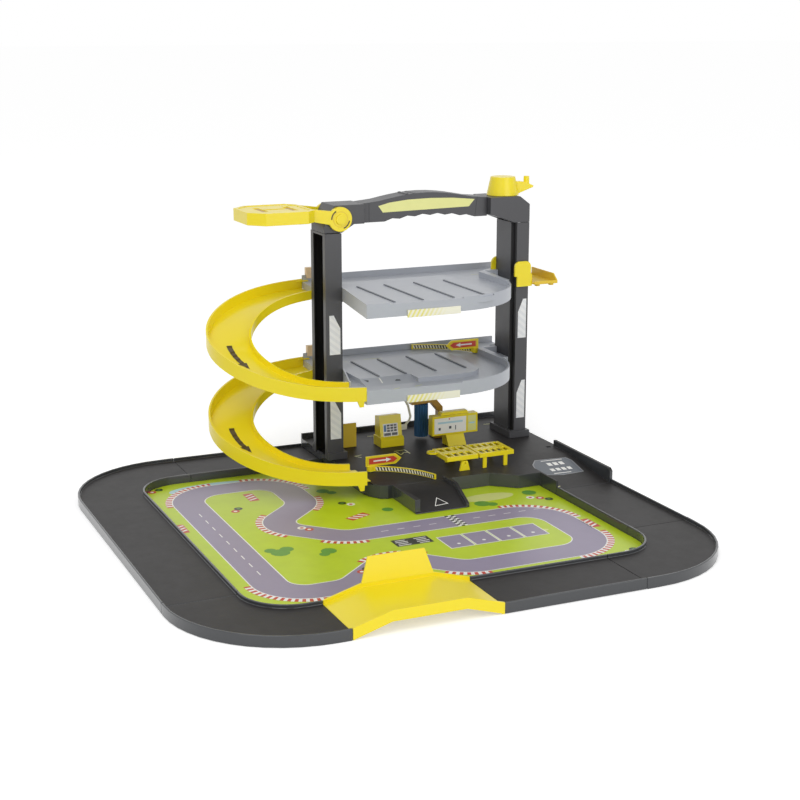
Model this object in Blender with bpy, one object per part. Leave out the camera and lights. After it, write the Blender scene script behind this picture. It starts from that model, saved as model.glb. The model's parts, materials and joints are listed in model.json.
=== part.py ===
"""Toy garage: a ring road round a play mat, a raised base, two decks, curved ramps and a crank lift.

Metres, +Z up. The origin is the centre of the ring road's square footprint, on the floor.
+X is the lift side and -Y is the bridge side.
"""

import math

import bmesh
import bpy
from mathutils import Matrix, Vector

# Clearance between pieces that touch
GAP = 0.0003
# How far one solid is sunk into another before the two are joined
SINK = 0.0006
# How far faces that would coincide are kept apart
SHAVE = 0.0002

# Ring road
RING_HALF = 0.310
LANE_WIDTH = 0.0795
RING_CORNER_RADIUS = 0.130
ROAD_RIM_HEIGHT = 0.012
ROAD_FLOOR_TOP = 0.008
ROAD_SKIN = 0.0025
ROAD_SEAM = 0.160
ROAD_LEFT_SEAM = 0.174
CORNER_STEPS = 12

# Play mat
MAT_THICKNESS = 0.002

# Bridge in the front lane
BRIDGE_CENTRE_X = -0.0835
BRIDGE_LENGTH = 0.160
BRIDGE_TOP_LENGTH = 0.079
BRIDGE_RISE = 0.0115
BRIDGE_SKIN = 0.0025
BRIDGE_BOARD_HEIGHT = 0.026
BRIDGE_BOARD_TOP_LENGTH = 0.062
BRIDGE_BOARD_LEAN = 0.004

# Garage base
BASE_LEFT = 0.016
BASE_TOP = 0.019
BASE_SKIN = 0.0025
BASE_BACK_WALL_TOP = 0.0255
BASE_SIDE_WALL_TOP = 0.0265
BASE_SIDE_WALL_END = 0.140
BASE_SLOPE_START = 0.100
BASE_FRONT = 0.064
BASE_STEP_FRONT = 0.040
BASE_BULGE_FRONT = 0.066
BASE_SOCKET_X = 0.297
BASE_SOCKET_Y = 0.137
BASE_SOCKET_HALF = 0.003

# Exit ramp from the base down to the mat
EXIT_LEFT = 0.0425
EXIT_RIGHT = 0.112
EXIT_FRONT = -0.002
EXIT_CREASE = 0.030
EXIT_CHEEK = 0.007
EXIT_RIM = 0.004
EXIT_RIM_HEIGHT = 0.005

# Pillars
PILLAR_WIDTH = 0.022
PILLAR_DEPTH = 0.050
PILLAR_SKIN = 0.002
PILLAR_LEFT_X = 0.021
PILLAR_RIGHT_X = 0.284
PILLAR_Y = 0.222
SHAFT_MOUTH = 0.032
CORNER_SLOT_WIDTH = 0.004
CORNER_SLOT_DEPTH = 0.009
FOOT_LIP = 0.004
FOOT_HEIGHT = 0.009
BUTTRESS_HEIGHT = 0.020

# Heads and handle
HEAD_SKIN = 0.0025
LEFT_HEAD_RIGHT = 0.064
RIGHT_HEAD_LEFT = 0.238
HEAD_CHAMFER = 0.014
HANDLE_UNDERSIDE = 0.317
HANDLE_THICKNESS = 0.024
HEAD_SHOULDER = 0.010
PILLAR_TOP = HANDLE_UNDERSIDE - HEAD_SHOULDER
HEAD_TOP = HANDLE_UNDERSIDE + HANDLE_THICKNESS
HANDLE_CROWN = 0.008
HANDLE_DEPTH = 0.030
GRIP_SCALLOPS = 6
GRIP_SCALLOP_DEPTH = 0.0022

# Decks
DECK_LEFT = 0.014
DECK_FRONT = 0.076
DECK_BACK = 0.306
DECK_FLAT_FRONT = 0.140
DECK_NOSE = 0.108
DECK_BACK_LEAN = 0.005
DECK_RIM_LEFT = 0.243
DECK_RIM_RIGHT = 0.2525
DECK_LANE_WALL = 0.2385
DECK_TONGUE_HALF = 0.014
DECK_LOWER_BOTTOM = 0.1187
STOREY = 0.1038
DECK_DEPTH = 0.017
DECK_FLOOR = 0.009
DECK_SKIN = 0.0025
DECK_FRONT_LIP = 0.0065
BAY_RISE = 0.0055
BAY_RIB = 0.0012
BAY_RIB_WIDTH = 0.0026
BAY_RIBS = (0.061, 0.098, 0.139, 0.181)
UPPER_RIB_SHIFT = 0.005
UPPER_RIB_FRONT = 0.090
UPPER_RIB_BACK = 0.206
ISLAND_LENGTH = 0.166
ISLAND_MARGIN = 0.002
ISLAND_BACK_MARGIN = 0.006
ISLAND_OVERHANG = 0.010
ISLAND_SLOPE = 0.024
ISLAND_SLOPE_LENGTH = 0.069
ISLAND_NOSE = 0.036
BOARD_LEFT = 0.066
BOARD_WIDTH = 0.070
BOARD_HEIGHT = 0.009
BOARD_THICKNESS = 0.0016
SHELF_DEPTH = 0.008

# Curved ramps, half ellipses in plan
RAMP_OUTER = 0.115
RAMP_INNER = 0.057
RAMP_LANE = RAMP_OUTER - RAMP_INNER
RAMP_OUTER_REACH = 0.157
RAMP_INNER_REACH = 0.102
RAMP_EASE = 0.73
RAMP_SKIN = 0.0025
RAMP_OUTER_WALL = 0.0125
RAMP_INNER_WALL = 0.007
RAMP_SKIRT = 0.0045
RAMP_STEPS = 40
RAMP_TONGUE = 0.006
RAMP_TONGUE_THICKNESS = 0.0008
RAMP_TONGUE_DROP = 0.0006
RAMP_LUG = 0.010
RAMP_HOOK_ROOT = 0.004
RAMP_HOOK_REACH = 0.012
RAMP_HOOK_WIDTH = 0.003
RAMP_HOOK_THICKNESS = 0.0015
CLIP_LEFT = 0.024
CLIP_WIDTH = 0.010

# Lift and its drive
LIFT_TRAVEL = 0.183
LIFT_LEAD = 0.040
LIFT_STOP_ROOM = 0.0015
LIFT_LOWEST = BASE_TOP + BUTTRESS_HEIGHT + LIFT_STOP_ROOM
LIFT_PLATE_BOTTOM = LIFT_LOWEST + LIFT_TRAVEL
LIFT_PLATE_HEIGHT = 0.033
LIFT_NEAR_WIDTH = 0.0235
LIFT_NEAR_SHIFT = 0.0008
LIFT_FAR_WIDTH = 0.030
LIFT_FAR_SHIFT = -0.002
LIFT_NOTCH_WIDTH = 0.0035
LIFT_NOTCH_HEIGHT = 0.0135
LIFT_LINK_BITE = 0.0015
LIFT_LINK_HEIGHT = 0.016
LIFT_PLATE_SKIN = 0.003
LIFT_CLEAR = 0.0008
LIFT_PEG_HEIGHT = 0.008
TRAY_LEFT = 0.2995
TRAY_WIDTH = 0.0345
DECK_RIGHT = TRAY_LEFT - 0.001
TRAY_LENGTH = 0.068
TRAY_LIFT = 0.002
TRAY_FLOOR = LIFT_PLATE_BOTTOM + TRAY_LIFT
TRAY_SKIN = 0.002
TRAY_WALL = 0.012
TRAY_END_WALL = 0.004
TRAY_WALL_SLANT = 0.010
SCREW_CORE = 0.0034
SCREW_THREAD = 0.0064
SCREW_THREAD_WIDTH = 0.0022
THREAD_RUNOUT = 0.008
SCREW_BOTTOM = 0.022
GEAR_TEETH = 12
GEAR_PITCH_RADIUS = 0.008
GEAR_ROOM_SKIN = 0.0015
GEAR_WIDTH = 0.006
GEAR_LIFT = 0.0085
GEAR_BOTTOM = PILLAR_TOP + GEAR_LIFT
BEARING_RADIUS = 0.0078
CRANK_TOP_RADIUS = 0.016
CRANK_FOOT_RADIUS = 0.021
CRANK_HEIGHT = 0.0235
CRANK_ARM = 0.0335
CRANK_FIN_HALF = 0.006
CRANK_ARM_ANGLE = -4
CRANK_KNOB_RADIUS = 0.004
CRANK_KNOB_BOTTOM = 0.011
CRANK_KNOB_TOP = 0.023
SHAFT_RADIUS = 0.0035
SHAFT_RISE = 0.012

# Helipad
PAD_HINGE_DROP = 0.0165
PAD_HINGE_Z = HEAD_TOP - PAD_HINGE_DROP
PAD_HINGE_X = 0.030
PAD_LEFT = -0.090
PAD_RIGHT = -0.006
PAD_DEPTH = 0.088
PAD_DROP = 0.001
PAD_HEIGHT = 0.015
PAD_BOTTOM = PAD_HINGE_Z - PAD_DROP
PAD_TOP = PAD_BOTTOM + PAD_HEIGHT
PAD_CHAMFER = 0.018
PAD_SHORT_CHAMFER = 0.012
PAD_SKIN = 0.0025
PAD_DISH = 0.0008
PAD_DISH_EDGE = 0.004
PAD_MARKS = (-0.068, -0.030)
PAD_MARK_WIDTH = 0.008
PAD_MARK_HALF = 0.020
PAD_EAR_RADIUS = 0.0152
PAD_EAR_THICKNESS = 0.005
PAD_PIN_RADIUS = 0.003

# Gates
GATE_RAIL_HEIGHT = 0.0065
GATE_RAIL_THICKNESS = 0.002
GATE_SIGN_HEIGHT = 0.013
GATE_SIGN_WIDTH = 0.048
GATE_PIN_RADIUS = 0.002
EXIT_GATE_X = 0.0395
EXIT_GATE_Y = 0.128
GATE_RADIUS = 0.100
GATE_SWEEP = 52
DECK_GATE_X = 0.2435
DECK_GATE_Y = 0.2465

# Things on the base
PANEL_X = 0.056
PANEL_Y = 0.240
PUMP_X = 0.110
PUMP_Y = 0.222
PUMP_WIDTH = 0.033
PUMP_DEPTH = 0.022
PUMP_HEIGHT = 0.041
NOZZLE_RADIUS = 0.0016
WASH_X = 0.162
WASH_Y = 0.243
WASH_ROLLER_RADIUS = 0.0095
WASH_ROLLER_HEIGHT = 0.044
SCREEN_X = 0.190
SCREEN_Y = 0.197
SCREEN_WIDTH = 0.066
SCREEN_HEIGHT = 0.026
SCREEN_BOTTOM = 0.0335
SCREEN_THICKNESS = 0.012
TABLE_LEFT = 0.124
TABLE_SPLIT = 0.169
TABLE_RIGHT = 0.217
TABLE_FRONT = 0.084
TABLE_DEPTH = 0.044
TABLE_TOP = 0.0385
TABLE_THICKNESS = 0.0055
TABLE_LEG = 0.005

# Colours
CHARCOAL = (0.030, 0.030, 0.032, 1.0)
GREY = (0.36, 0.38, 0.41, 1.0)
YELLOW = (0.90, 0.68, 0.02, 1.0)
OCHRE = (0.62, 0.36, 0.07, 1.0)
LIME = (0.45, 0.65, 0.02, 1.0)
BLUE = (0.02, 0.12, 0.30, 1.0)
CREAM = (0.85, 0.83, 0.70, 1.0)
STEEL = (0.55, 0.56, 0.58, 1.0)


def clear_scene():
    for obj in list(bpy.data.objects):
        bpy.data.objects.remove(obj, do_unlink=True)


def finish_piece(name, solid, colour, roughness=0.4, metallic=0.0, origin=(0.0, 0.0, 0.0)):
    """Name a solid, give it its own material and put its origin on the given point."""
    offset = Vector(origin)
    solid.data.transform(Matrix.Translation(-offset))
    solid.location = offset
    solid.name = name
    solid.data.name = name
    material = bpy.data.materials.new(name + "_plastic")
    material.use_nodes = True
    shader = material.node_tree.nodes["Principled BSDF"]
    shader.inputs["Base Color"].default_value = colour
    shader.inputs["Roughness"].default_value = roughness
    shader.inputs["Metallic"].default_value = metallic
    material.diffuse_color = colour
    solid.data.materials.clear()
    solid.data.materials.append(material)
    solid.data.set_sharp_from_angle(angle=math.radians(35))
    return solid


def ride_on(child, parent):
    """Parent a piece without moving it."""
    child.parent = parent
    child.matrix_parent_inverse = Matrix.Translation(-parent.location)


def add_solid(mesh_builder):
    """Make a scratch object from a bmesh with outward faces."""
    bmesh.ops.recalc_face_normals(mesh_builder, faces=mesh_builder.faces[:])
    mesh = bpy.data.meshes.new("solid")
    mesh_builder.to_mesh(mesh)
    mesh_builder.free()
    solid = bpy.data.objects.new("solid", mesh)
    bpy.context.scene.collection.objects.link(solid)
    return solid


def combine(base, others, operation):
    """Apply an exact Boolean of each other solid to the base."""
    for other in others:
        modifier = base.modifiers.new("combine", "BOOLEAN")
        modifier.operation = operation
        modifier.solver = "EXACT"
        modifier.object = other
        graph = bpy.context.evaluated_depsgraph_get()
        shaped = bpy.data.meshes.new_from_object(base.evaluated_get(graph))
        base.modifiers.clear()
        base.data = shaped
        bpy.data.objects.remove(other, do_unlink=True)
    return base


def join(base, *others):
    return combine(base, others, "UNION")


def cut(base, *others):
    return combine(base, others, "DIFFERENCE")


def move(solid, x=0.0, y=0.0, z=0.0):
    solid.data.transform(Matrix.Translation((x, y, z)))
    return solid


def turn(solid, degrees, axis, point=(0.0, 0.0, 0.0)):
    """Turn a solid about an axis through a point."""
    there = Matrix.Translation(Vector(point))
    back = Matrix.Translation(-Vector(point))
    solid.data.transform(there @ Matrix.Rotation(math.radians(degrees), 4, axis) @ back)
    return solid


def prism(outline, bottom, top):
    """Extrude a plan outline from bottom to top."""
    builder = bmesh.new()
    lower = [builder.verts.new((x, y, bottom)) for x, y in outline]
    face = builder.faces.new(lower)
    grown = bmesh.ops.extrude_face_region(builder, geom=[face])
    raised = [part for part in grown["geom"] if isinstance(part, bmesh.types.BMVert)]
    bmesh.ops.translate(builder, vec=(0.0, 0.0, top - bottom), verts=raised)
    return add_solid(builder)


def box(left, right, front, back, bottom, top):
    return prism([(left, front), (right, front), (right, back), (left, back)], bottom, top)


def standing_prism(outline, front, back):
    """Extrude an outline drawn in X and Z from front to back along Y."""
    solid = prism([(x, z) for x, z in outline], -back, -front)
    return turn(solid, 90, "X")


def side_prism(outline, left, right):
    """Extrude an outline drawn in Y and Z from left to right along X."""
    solid = prism([(y, z) for y, z in outline], left, right)
    solid.data.transform(Matrix(((0, 0, 1, 0), (1, 0, 0, 0), (0, 1, 0, 0), (0, 0, 0, 1))))
    return solid


def cone(bottom_radius, top_radius, bottom, top, x=0.0, y=0.0, steps=24):
    """An upright cylinder or cone."""
    builder = bmesh.new()
    bmesh.ops.create_cone(builder, cap_ends=True, segments=steps, radius1=bottom_radius,
                          radius2=top_radius, depth=top - bottom)
    bmesh.ops.translate(builder, vec=(x, y, (top + bottom) / 2), verts=builder.verts[:])
    return add_solid(builder)


def rod_along_y(radius, front, back, x, z, steps=24):
    return move(turn(cone(radius, radius, -back, -front, steps=steps), 90, "X"), x=x, z=z)


def arc(centre_x, centre_y, radius, start, end, steps):
    """Points on an arc, angles in degrees from +X."""
    points = []
    for step in range(steps + 1):
        angle = math.radians(start + (end - start) * step / steps)
        points.append((centre_x + radius * math.cos(angle), centre_y + radius * math.sin(angle)))
    return points


def swept(section, stations):
    """Skin a closed section along stations, each a function from section point to space point."""
    builder = bmesh.new()
    rings = [[builder.verts.new(place(point)) for point in section] for place in stations]
    count = len(section)
    for near, far in zip(rings, rings[1:]):
        for index in range(count):
            after = (index + 1) % count
            builder.faces.new((near[index], near[after], far[after], far[index]))
    bmesh.ops.triangulate(builder, faces=builder.faces[:])
    builder.faces.new(rings[0])
    builder.faces.new(list(reversed(rings[-1])))
    return add_solid(builder)


def channel_section(width, skin, floor_top, left_wall_top, right_wall_top, wall_bottom):
    """An open-topped and open-bottomed channel: a floor between two walls."""
    return [
        (0.0, wall_bottom), (0.0, left_wall_top), (skin, left_wall_top), (skin, floor_top),
        (width - skin, floor_top), (width - skin, right_wall_top), (width, right_wall_top),
        (width, wall_bottom), (width - skin, wall_bottom), (width - skin, floor_top - skin),
        (skin, floor_top - skin), (skin, wall_bottom),
    ]


# Ring road

RING_INNER = RING_HALF - LANE_WIDTH
CORNER_CENTRE = RING_HALF - RING_CORNER_RADIUS
INNER_CORNER_RADIUS = RING_CORNER_RADIUS - LANE_WIDTH


def ring_station(x, y, outward):
    """Place a lane section with its inner edge at x, y and its width along outward."""
    return lambda point: (x + outward[0] * point[0], y + outward[1] * point[0], point[1])


def corner_stations(sign_x, sign_y, start, end):
    stations = []
    for x, y in arc(0.0, 0.0, 1.0, start, end, CORNER_STEPS):
        place_x = sign_x * CORNER_CENTRE + INNER_CORNER_RADIUS * x
        place_y = sign_y * CORNER_CENTRE + INNER_CORNER_RADIUS * y
        stations.append(ring_station(place_x, place_y, (x, y)))
    return stations


def road(name, stations):
    section = channel_section(LANE_WIDTH, ROAD_SKIN, ROAD_FLOOR_TOP, ROAD_RIM_HEIGHT,
                              ROAD_RIM_HEIGHT, 0.0)
    return finish_piece(name, swept(section, stations), CHARCOAL, 0.45)


def ring_road():
    """Five lane sections; the bridge and the base close the ring."""
    inner = RING_INNER
    bridge_left = BRIDGE_CENTRE_X - BRIDGE_LENGTH / 2 - GAP
    bridge_right = BRIDGE_CENTRE_X + BRIDGE_LENGTH / 2 + GAP
    half = GAP / 2
    road("road_back", [ring_station(BASE_LEFT - GAP, inner, (0, 1)),
                       ring_station(-ROAD_SEAM + half, inner, (0, 1))])
    road("road_back_left", [ring_station(-ROAD_SEAM - half, inner, (0, 1))]
         + corner_stations(-1, 1, 90, 180)
         + [ring_station(-inner, -ROAD_LEFT_SEAM + half, (-1, 0))])
    road("road_front_left", [ring_station(-inner, -ROAD_LEFT_SEAM - half, (-1, 0))]
         + corner_stations(-1, -1, 180, 270)
         + [ring_station(bridge_left, -inner, (0, -1))])
    road("road_front", [ring_station(bridge_right, -inner, (0, -1)),
                        ring_station(ROAD_SEAM - half, -inner, (0, -1))])
    road("road_front_right", [ring_station(ROAD_SEAM + half, -inner, (0, -1))]
         + corner_stations(1, -1, 270, 360)
         + [ring_station(inner, -ROAD_SEAM - half, (1, 0))])
    road("road_right", [ring_station(inner, -ROAD_SEAM + half, (1, 0)),
                        ring_station(inner, -GAP, (1, 0))])


def rounded_square(half, radius, steps):
    outline = []
    centre = half - radius
    for quarter, (sign_x, sign_y) in enumerate(((1, 1), (-1, 1), (-1, -1), (1, -1))):
        outline += arc(sign_x * centre, sign_y * centre, radius, quarter * 90,
                       quarter * 90 + 90, steps)
    return outline


def play_mat():
    outline = rounded_square(RING_INNER - GAP, INNER_CORNER_RADIUS - GAP, 8)
    finish_piece("play_mat", prism(outline, 0.0, MAT_THICKNESS), LIME, 0.35)


# Bridge

def bridge_height(x, low, rise):
    """Height of the bridge's hump at x: up, level, down."""
    from_centre = abs(x - BRIDGE_CENTRE_X)
    run = (BRIDGE_LENGTH - BRIDGE_TOP_LENGTH) / 2
    share = (BRIDGE_LENGTH / 2 - from_centre) / run
    return low + rise * min(1.0, max(0.0, share))


def bridge():
    """A humped lane section with rims, an arch below and a kicker board along its inner side."""
    half = BRIDGE_LENGTH / 2
    flat = BRIDGE_TOP_LENGTH / 2
    places = [BRIDGE_CENTRE_X + shift for shift in (-half, -flat, flat, half)]
    front = -RING_HALF
    back = -RING_INNER - GAP
    floor = [(x, bridge_height(x, ROAD_FLOOR_TOP, BRIDGE_RISE)) for x in places]
    under = [(x, z - BRIDGE_SKIN) for x, z in reversed(floor)]
    deck = standing_prism(floor + under, front, back)
    rim_top = [(x, bridge_height(x, ROAD_RIM_HEIGHT, BRIDGE_RISE)) for x in places]
    skirt = [(x, bridge_height(x, 0.0, ROAD_RIM_HEIGHT)) for x in reversed(places)]
    front_rim = standing_prism(rim_top + skirt, front, front + BRIDGE_SKIN)
    back_rim = standing_prism(rim_top + skirt, back - BRIDGE_SKIN, back)
    foot_height = ROAD_FLOOR_TOP - BRIDGE_SKIN / 2
    feet = [box(x, x + BRIDGE_SKIN, front + SINK, back - SINK, 0.0, foot_height)
            for x in (places[0], places[3] - BRIDGE_SKIN)]
    board_bottom = ROAD_RIM_HEIGHT + BRIDGE_RISE - SINK
    board_top = board_bottom + BRIDGE_BOARD_HEIGHT
    top_half = BRIDGE_BOARD_TOP_LENGTH / 2
    board = standing_prism([(BRIDGE_CENTRE_X - flat, board_bottom),
                            (BRIDGE_CENTRE_X + flat, board_bottom),
                            (BRIDGE_CENTRE_X + top_half, board_top),
                            (BRIDGE_CENTRE_X - top_half, board_top)],
                           back - BRIDGE_SKIN + GAP, back - GAP)
    for vertex in board.data.vertices:
        vertex.co.y += BRIDGE_BOARD_LEAN * (vertex.co.z - board_bottom) / BRIDGE_BOARD_HEIGHT
    solid = join(deck, front_rim, back_rim, *feet, board)
    finish_piece("bridge", solid, YELLOW, 0.3)


# Garage base

def base_outline(inset):
    """Plan of the base, walls drawn in by inset."""
    left = BASE_LEFT + inset
    right = RING_HALF - inset
    back = RING_HALF - inset
    inner = RING_INNER + inset
    bulge = EXIT_LEFT - inset
    return [
        (left, back), (left, 0.098),
        (left + 0.003, 0.084), (left + 0.012, BASE_BULGE_FRONT + 0.004 + inset),
        (bulge - 0.006, BASE_BULGE_FRONT + inset), (bulge, BASE_BULGE_FRONT + 0.001 + inset),
        (EXIT_LEFT + inset, BASE_FRONT + inset), (0.172, BASE_FRONT + inset),
        (0.200, BASE_STEP_FRONT + inset), (inner, BASE_STEP_FRONT + inset),
        (inner, inset), (right, inset), (right, back),
    ]


def base_slope():
    """The wedge above the ramp that runs down from the base to the ring road."""
    low = ROAD_FLOOR_TOP
    top = BASE_TOP + 0.001
    outline = [(-0.001, low), (0.006, low), (BASE_SLOPE_START, BASE_TOP),
               (BASE_SLOPE_START, top), (-0.001, top)]
    return side_prism(outline, RING_INNER + ROAD_SKIN, RING_HALF - ROAD_SKIN)


def garage_base():
    """A shell with a back wall, a side wall, sockets for the pillars and a ramp to the road."""
    shell = prism(base_outline(0.0), 0.0, BASE_TOP)
    shell = cut(shell, base_slope())
    hollow_top = BASE_TOP - BASE_SKIN
    hollow = prism(base_outline(BASE_SKIN), -0.001, hollow_top)
    keep_slope = box(RING_INNER - 0.001, RING_HALF, -0.001, BASE_SLOPE_START + 0.002,
                     ROAD_FLOOR_TOP - BASE_SKIN, BASE_TOP)
    hollow = cut(hollow, keep_slope)
    shell = cut(shell, hollow)
    mat_room = prism(rounded_square(RING_INNER + GAP, INNER_CORNER_RADIUS, 8), -0.001,
                     MAT_THICKNESS + GAP)
    shell = cut(shell, mat_room)
    back_wall = box(BASE_LEFT, RING_HALF, RING_HALF - 0.004, RING_HALF, BASE_TOP - SINK,
                    BASE_BACK_WALL_TOP)
    side_wall = side_prism([(0.0, ROAD_FLOOR_TOP / 2), (BASE_SIDE_WALL_END, BASE_TOP - 0.002),
                            (BASE_SIDE_WALL_END, BASE_SIDE_WALL_TOP),
                            (0.004, BASE_SIDE_WALL_TOP - 0.001), (0.0, BASE_SIDE_WALL_TOP - 0.004)],
                           RING_HALF - 0.004, RING_HALF)
    shell = join(shell, back_wall, side_wall)
    ramp_recess = box(BASE_LEFT - 0.001, BASE_LEFT + RAMP_TONGUE + GAP, DECK_FRONT + RAMP_SKIN,
                      DECK_FRONT + RAMP_LANE - RAMP_SKIN, BASE_TOP - 0.0015,
                      BASE_TOP + 0.001)
    return cut(shell, ramp_recess)


def drill_base(shell):
    """Sockets and pin holes for what stands on the base."""
    holes = [
        cone(GATE_PIN_RADIUS + GAP, GATE_PIN_RADIUS + GAP, BASE_TOP - 0.006, BASE_TOP + 0.001,
             EXIT_GATE_X, EXIT_GATE_Y, 12),
        box(BASE_SOCKET_X - BASE_SOCKET_HALF, BASE_SOCKET_X + BASE_SOCKET_HALF,
            BASE_SOCKET_Y - BASE_SOCKET_HALF, BASE_SOCKET_Y + BASE_SOCKET_HALF, BASE_TOP - 0.006,
            BASE_TOP + 0.001),
    ]
    return cut(shell, *holes)


def exit_ramp():
    """A short ramp down to the mat with a full-height left cheek and a low right rim."""
    floor_low = MAT_THICKNESS + GAP
    back = BASE_FRONT - GAP
    top = BASE_TOP
    body = side_prism([(EXIT_FRONT, floor_low), (back, floor_low), (back, top),
                       (EXIT_CREASE, top), (EXIT_FRONT, floor_low + 0.001)],
                      EXIT_LEFT, EXIT_RIGHT)
    cheek = side_prism([(EXIT_FRONT + 0.003, floor_low), (back, floor_low), (back, top),
                        (EXIT_FRONT + 0.003, top)], EXIT_LEFT, EXIT_LEFT + EXIT_CHEEK)
    rim_top = top + EXIT_RIM_HEIGHT
    rim = side_prism([(EXIT_FRONT, floor_low), (back, floor_low), (back, rim_top - 0.001),
                      (EXIT_CREASE + 0.012, rim_top), (EXIT_CREASE, rim_top),
                      (EXIT_FRONT, floor_low + EXIT_RIM_HEIGHT)],
                     EXIT_RIGHT - EXIT_RIM, EXIT_RIGHT)
    solid = join(body, cheek, rim)
    hollow = side_prism([(EXIT_CREASE - 0.004, 0.0), (back - BASE_SKIN, 0.0),
                         (back - BASE_SKIN, top - BASE_SKIN), (EXIT_CREASE, top - BASE_SKIN)],
                        EXIT_LEFT + BASE_SKIN, EXIT_RIGHT - BASE_SKIN - EXIT_RIM)
    solid = cut(solid, hollow)
    finish_piece("exit_ramp", solid, CHARCOAL, 0.45)


# Pillars

def pillar(name, x, side):
    """A channel open on its outer side; side is -1 on the left and +1 on the right."""
    half = PILLAR_WIDTH / 2
    front = PILLAR_Y - PILLAR_DEPTH / 2
    back = PILLAR_Y + PILLAR_DEPTH / 2
    solid = box(x - half, x + half, front, back, BASE_TOP + GAP, PILLAR_TOP)
    inner = side * (half - PILLAR_SKIN)
    bore = box(x - half + PILLAR_SKIN, x + half - PILLAR_SKIN, front + PILLAR_SKIN,
               back - PILLAR_SKIN, BASE_TOP, PILLAR_TOP + 0.001)
    if side > 0:
        slot_right = x - half + CORNER_SLOT_WIDTH
        slot_back = front + CORNER_SLOT_DEPTH
        corner = box(x - half, slot_right + PILLAR_SKIN, front, slot_back + PILLAR_SKIN,
                     BASE_TOP - 0.001, PILLAR_TOP + 0.002)
        bore = cut(bore, corner)
        slot = box(x - half - 0.001, slot_right, front - 0.001, slot_back,
                   BASE_TOP + FOOT_HEIGHT + 0.001, PILLAR_TOP + 0.001)
        solid = cut(solid, slot)
    mouth_near = x + inner - side * SINK
    mouth_far = x + side * (half + 0.001)
    mouth = box(min(mouth_near, mouth_far), max(mouth_near, mouth_far),
                PILLAR_Y - SHAFT_MOUTH / 2, PILLAR_Y + SHAFT_MOUTH / 2, BASE_TOP, PILLAR_TOP - 0.003)
    finish_piece(name, cut(solid, bore, mouth), CHARCOAL, 0.4)


def pillar_foot(name, x, side):
    """A collar round the foot of a pillar, with a stepped buttress on the right one."""
    half = PILLAR_WIDTH / 2
    front = PILLAR_Y - PILLAR_DEPTH / 2
    back = PILLAR_Y + PILLAR_DEPTH / 2
    bottom = BASE_TOP + GAP
    outer_left = x - half - (FOOT_LIP if side > 0 else 0.0)
    outer_right = x + half + FOOT_LIP
    solid = box(outer_left, outer_right, front - FOOT_LIP, back + FOOT_LIP, bottom,
                bottom + FOOT_HEIGHT)
    if side > 0:
        buttress = box(outer_right - SINK, outer_right + 0.006, PILLAR_Y - 0.004, back, bottom,
                       bottom + BUTTRESS_HEIGHT)
        solid = join(solid, buttress)
    socket = box(x - half - GAP, x + half + GAP, front - GAP, back + GAP, bottom - 0.001,
                 bottom + 3 * FOOT_HEIGHT)
    mouth = box(min(x, x + side * 0.030), max(x, x + side * 0.030),
                PILLAR_Y - SHAFT_MOUTH / 2, PILLAR_Y + SHAFT_MOUTH / 2 - 0.012, bottom - 0.001,
                bottom + 3 * FOOT_HEIGHT)
    solid = cut(solid, socket, mouth)
    finish_piece(name, solid, CHARCOAL, 0.4)


# Heads and handle

def left_head():
    """The hollow block that carries the helipad hinge and the left end of the handle."""
    left = PILLAR_LEFT_X - PILLAR_WIDTH / 2
    front = PILLAR_Y - PILLAR_DEPTH / 2
    back = PILLAR_Y + PILLAR_DEPTH / 2
    bottom = PILLAR_TOP + GAP
    pillar_right = PILLAR_LEFT_X + PILLAR_WIDTH / 2
    outline = [(left, bottom), (pillar_right + 0.002, bottom),
               (LEFT_HEAD_RIGHT - 0.014, HANDLE_UNDERSIDE), (LEFT_HEAD_RIGHT, HANDLE_UNDERSIDE),
               (LEFT_HEAD_RIGHT, HEAD_TOP),
               (PAD_HINGE_X - 0.006, HEAD_TOP), (left, PAD_HINGE_Z - 0.008)]
    solid = standing_prism(outline, front + 0.003, back - 0.003)
    hollow = box(left + 0.006, pillar_right - 0.001, front + 0.003 + HEAD_SKIN,
                 back - 0.003 - HEAD_SKIN, bottom - 0.001, PAD_HINGE_Z - 0.007)
    pin_hole = rod_along_y(PAD_PIN_RADIUS + GAP, front, back, PAD_HINGE_X, PAD_HINGE_Z)
    socket = box(LEFT_HEAD_RIGHT - 0.008, LEFT_HEAD_RIGHT + 0.001, PILLAR_Y - 0.008 - GAP,
                 PILLAR_Y + 0.008 + GAP, HANDLE_UNDERSIDE + 0.005 - GAP,
                 HANDLE_UNDERSIDE + 0.017 + GAP)
    finish_piece("left_head", cut(solid, hollow, pin_hole, socket), CHARCOAL, 0.4)


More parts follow.
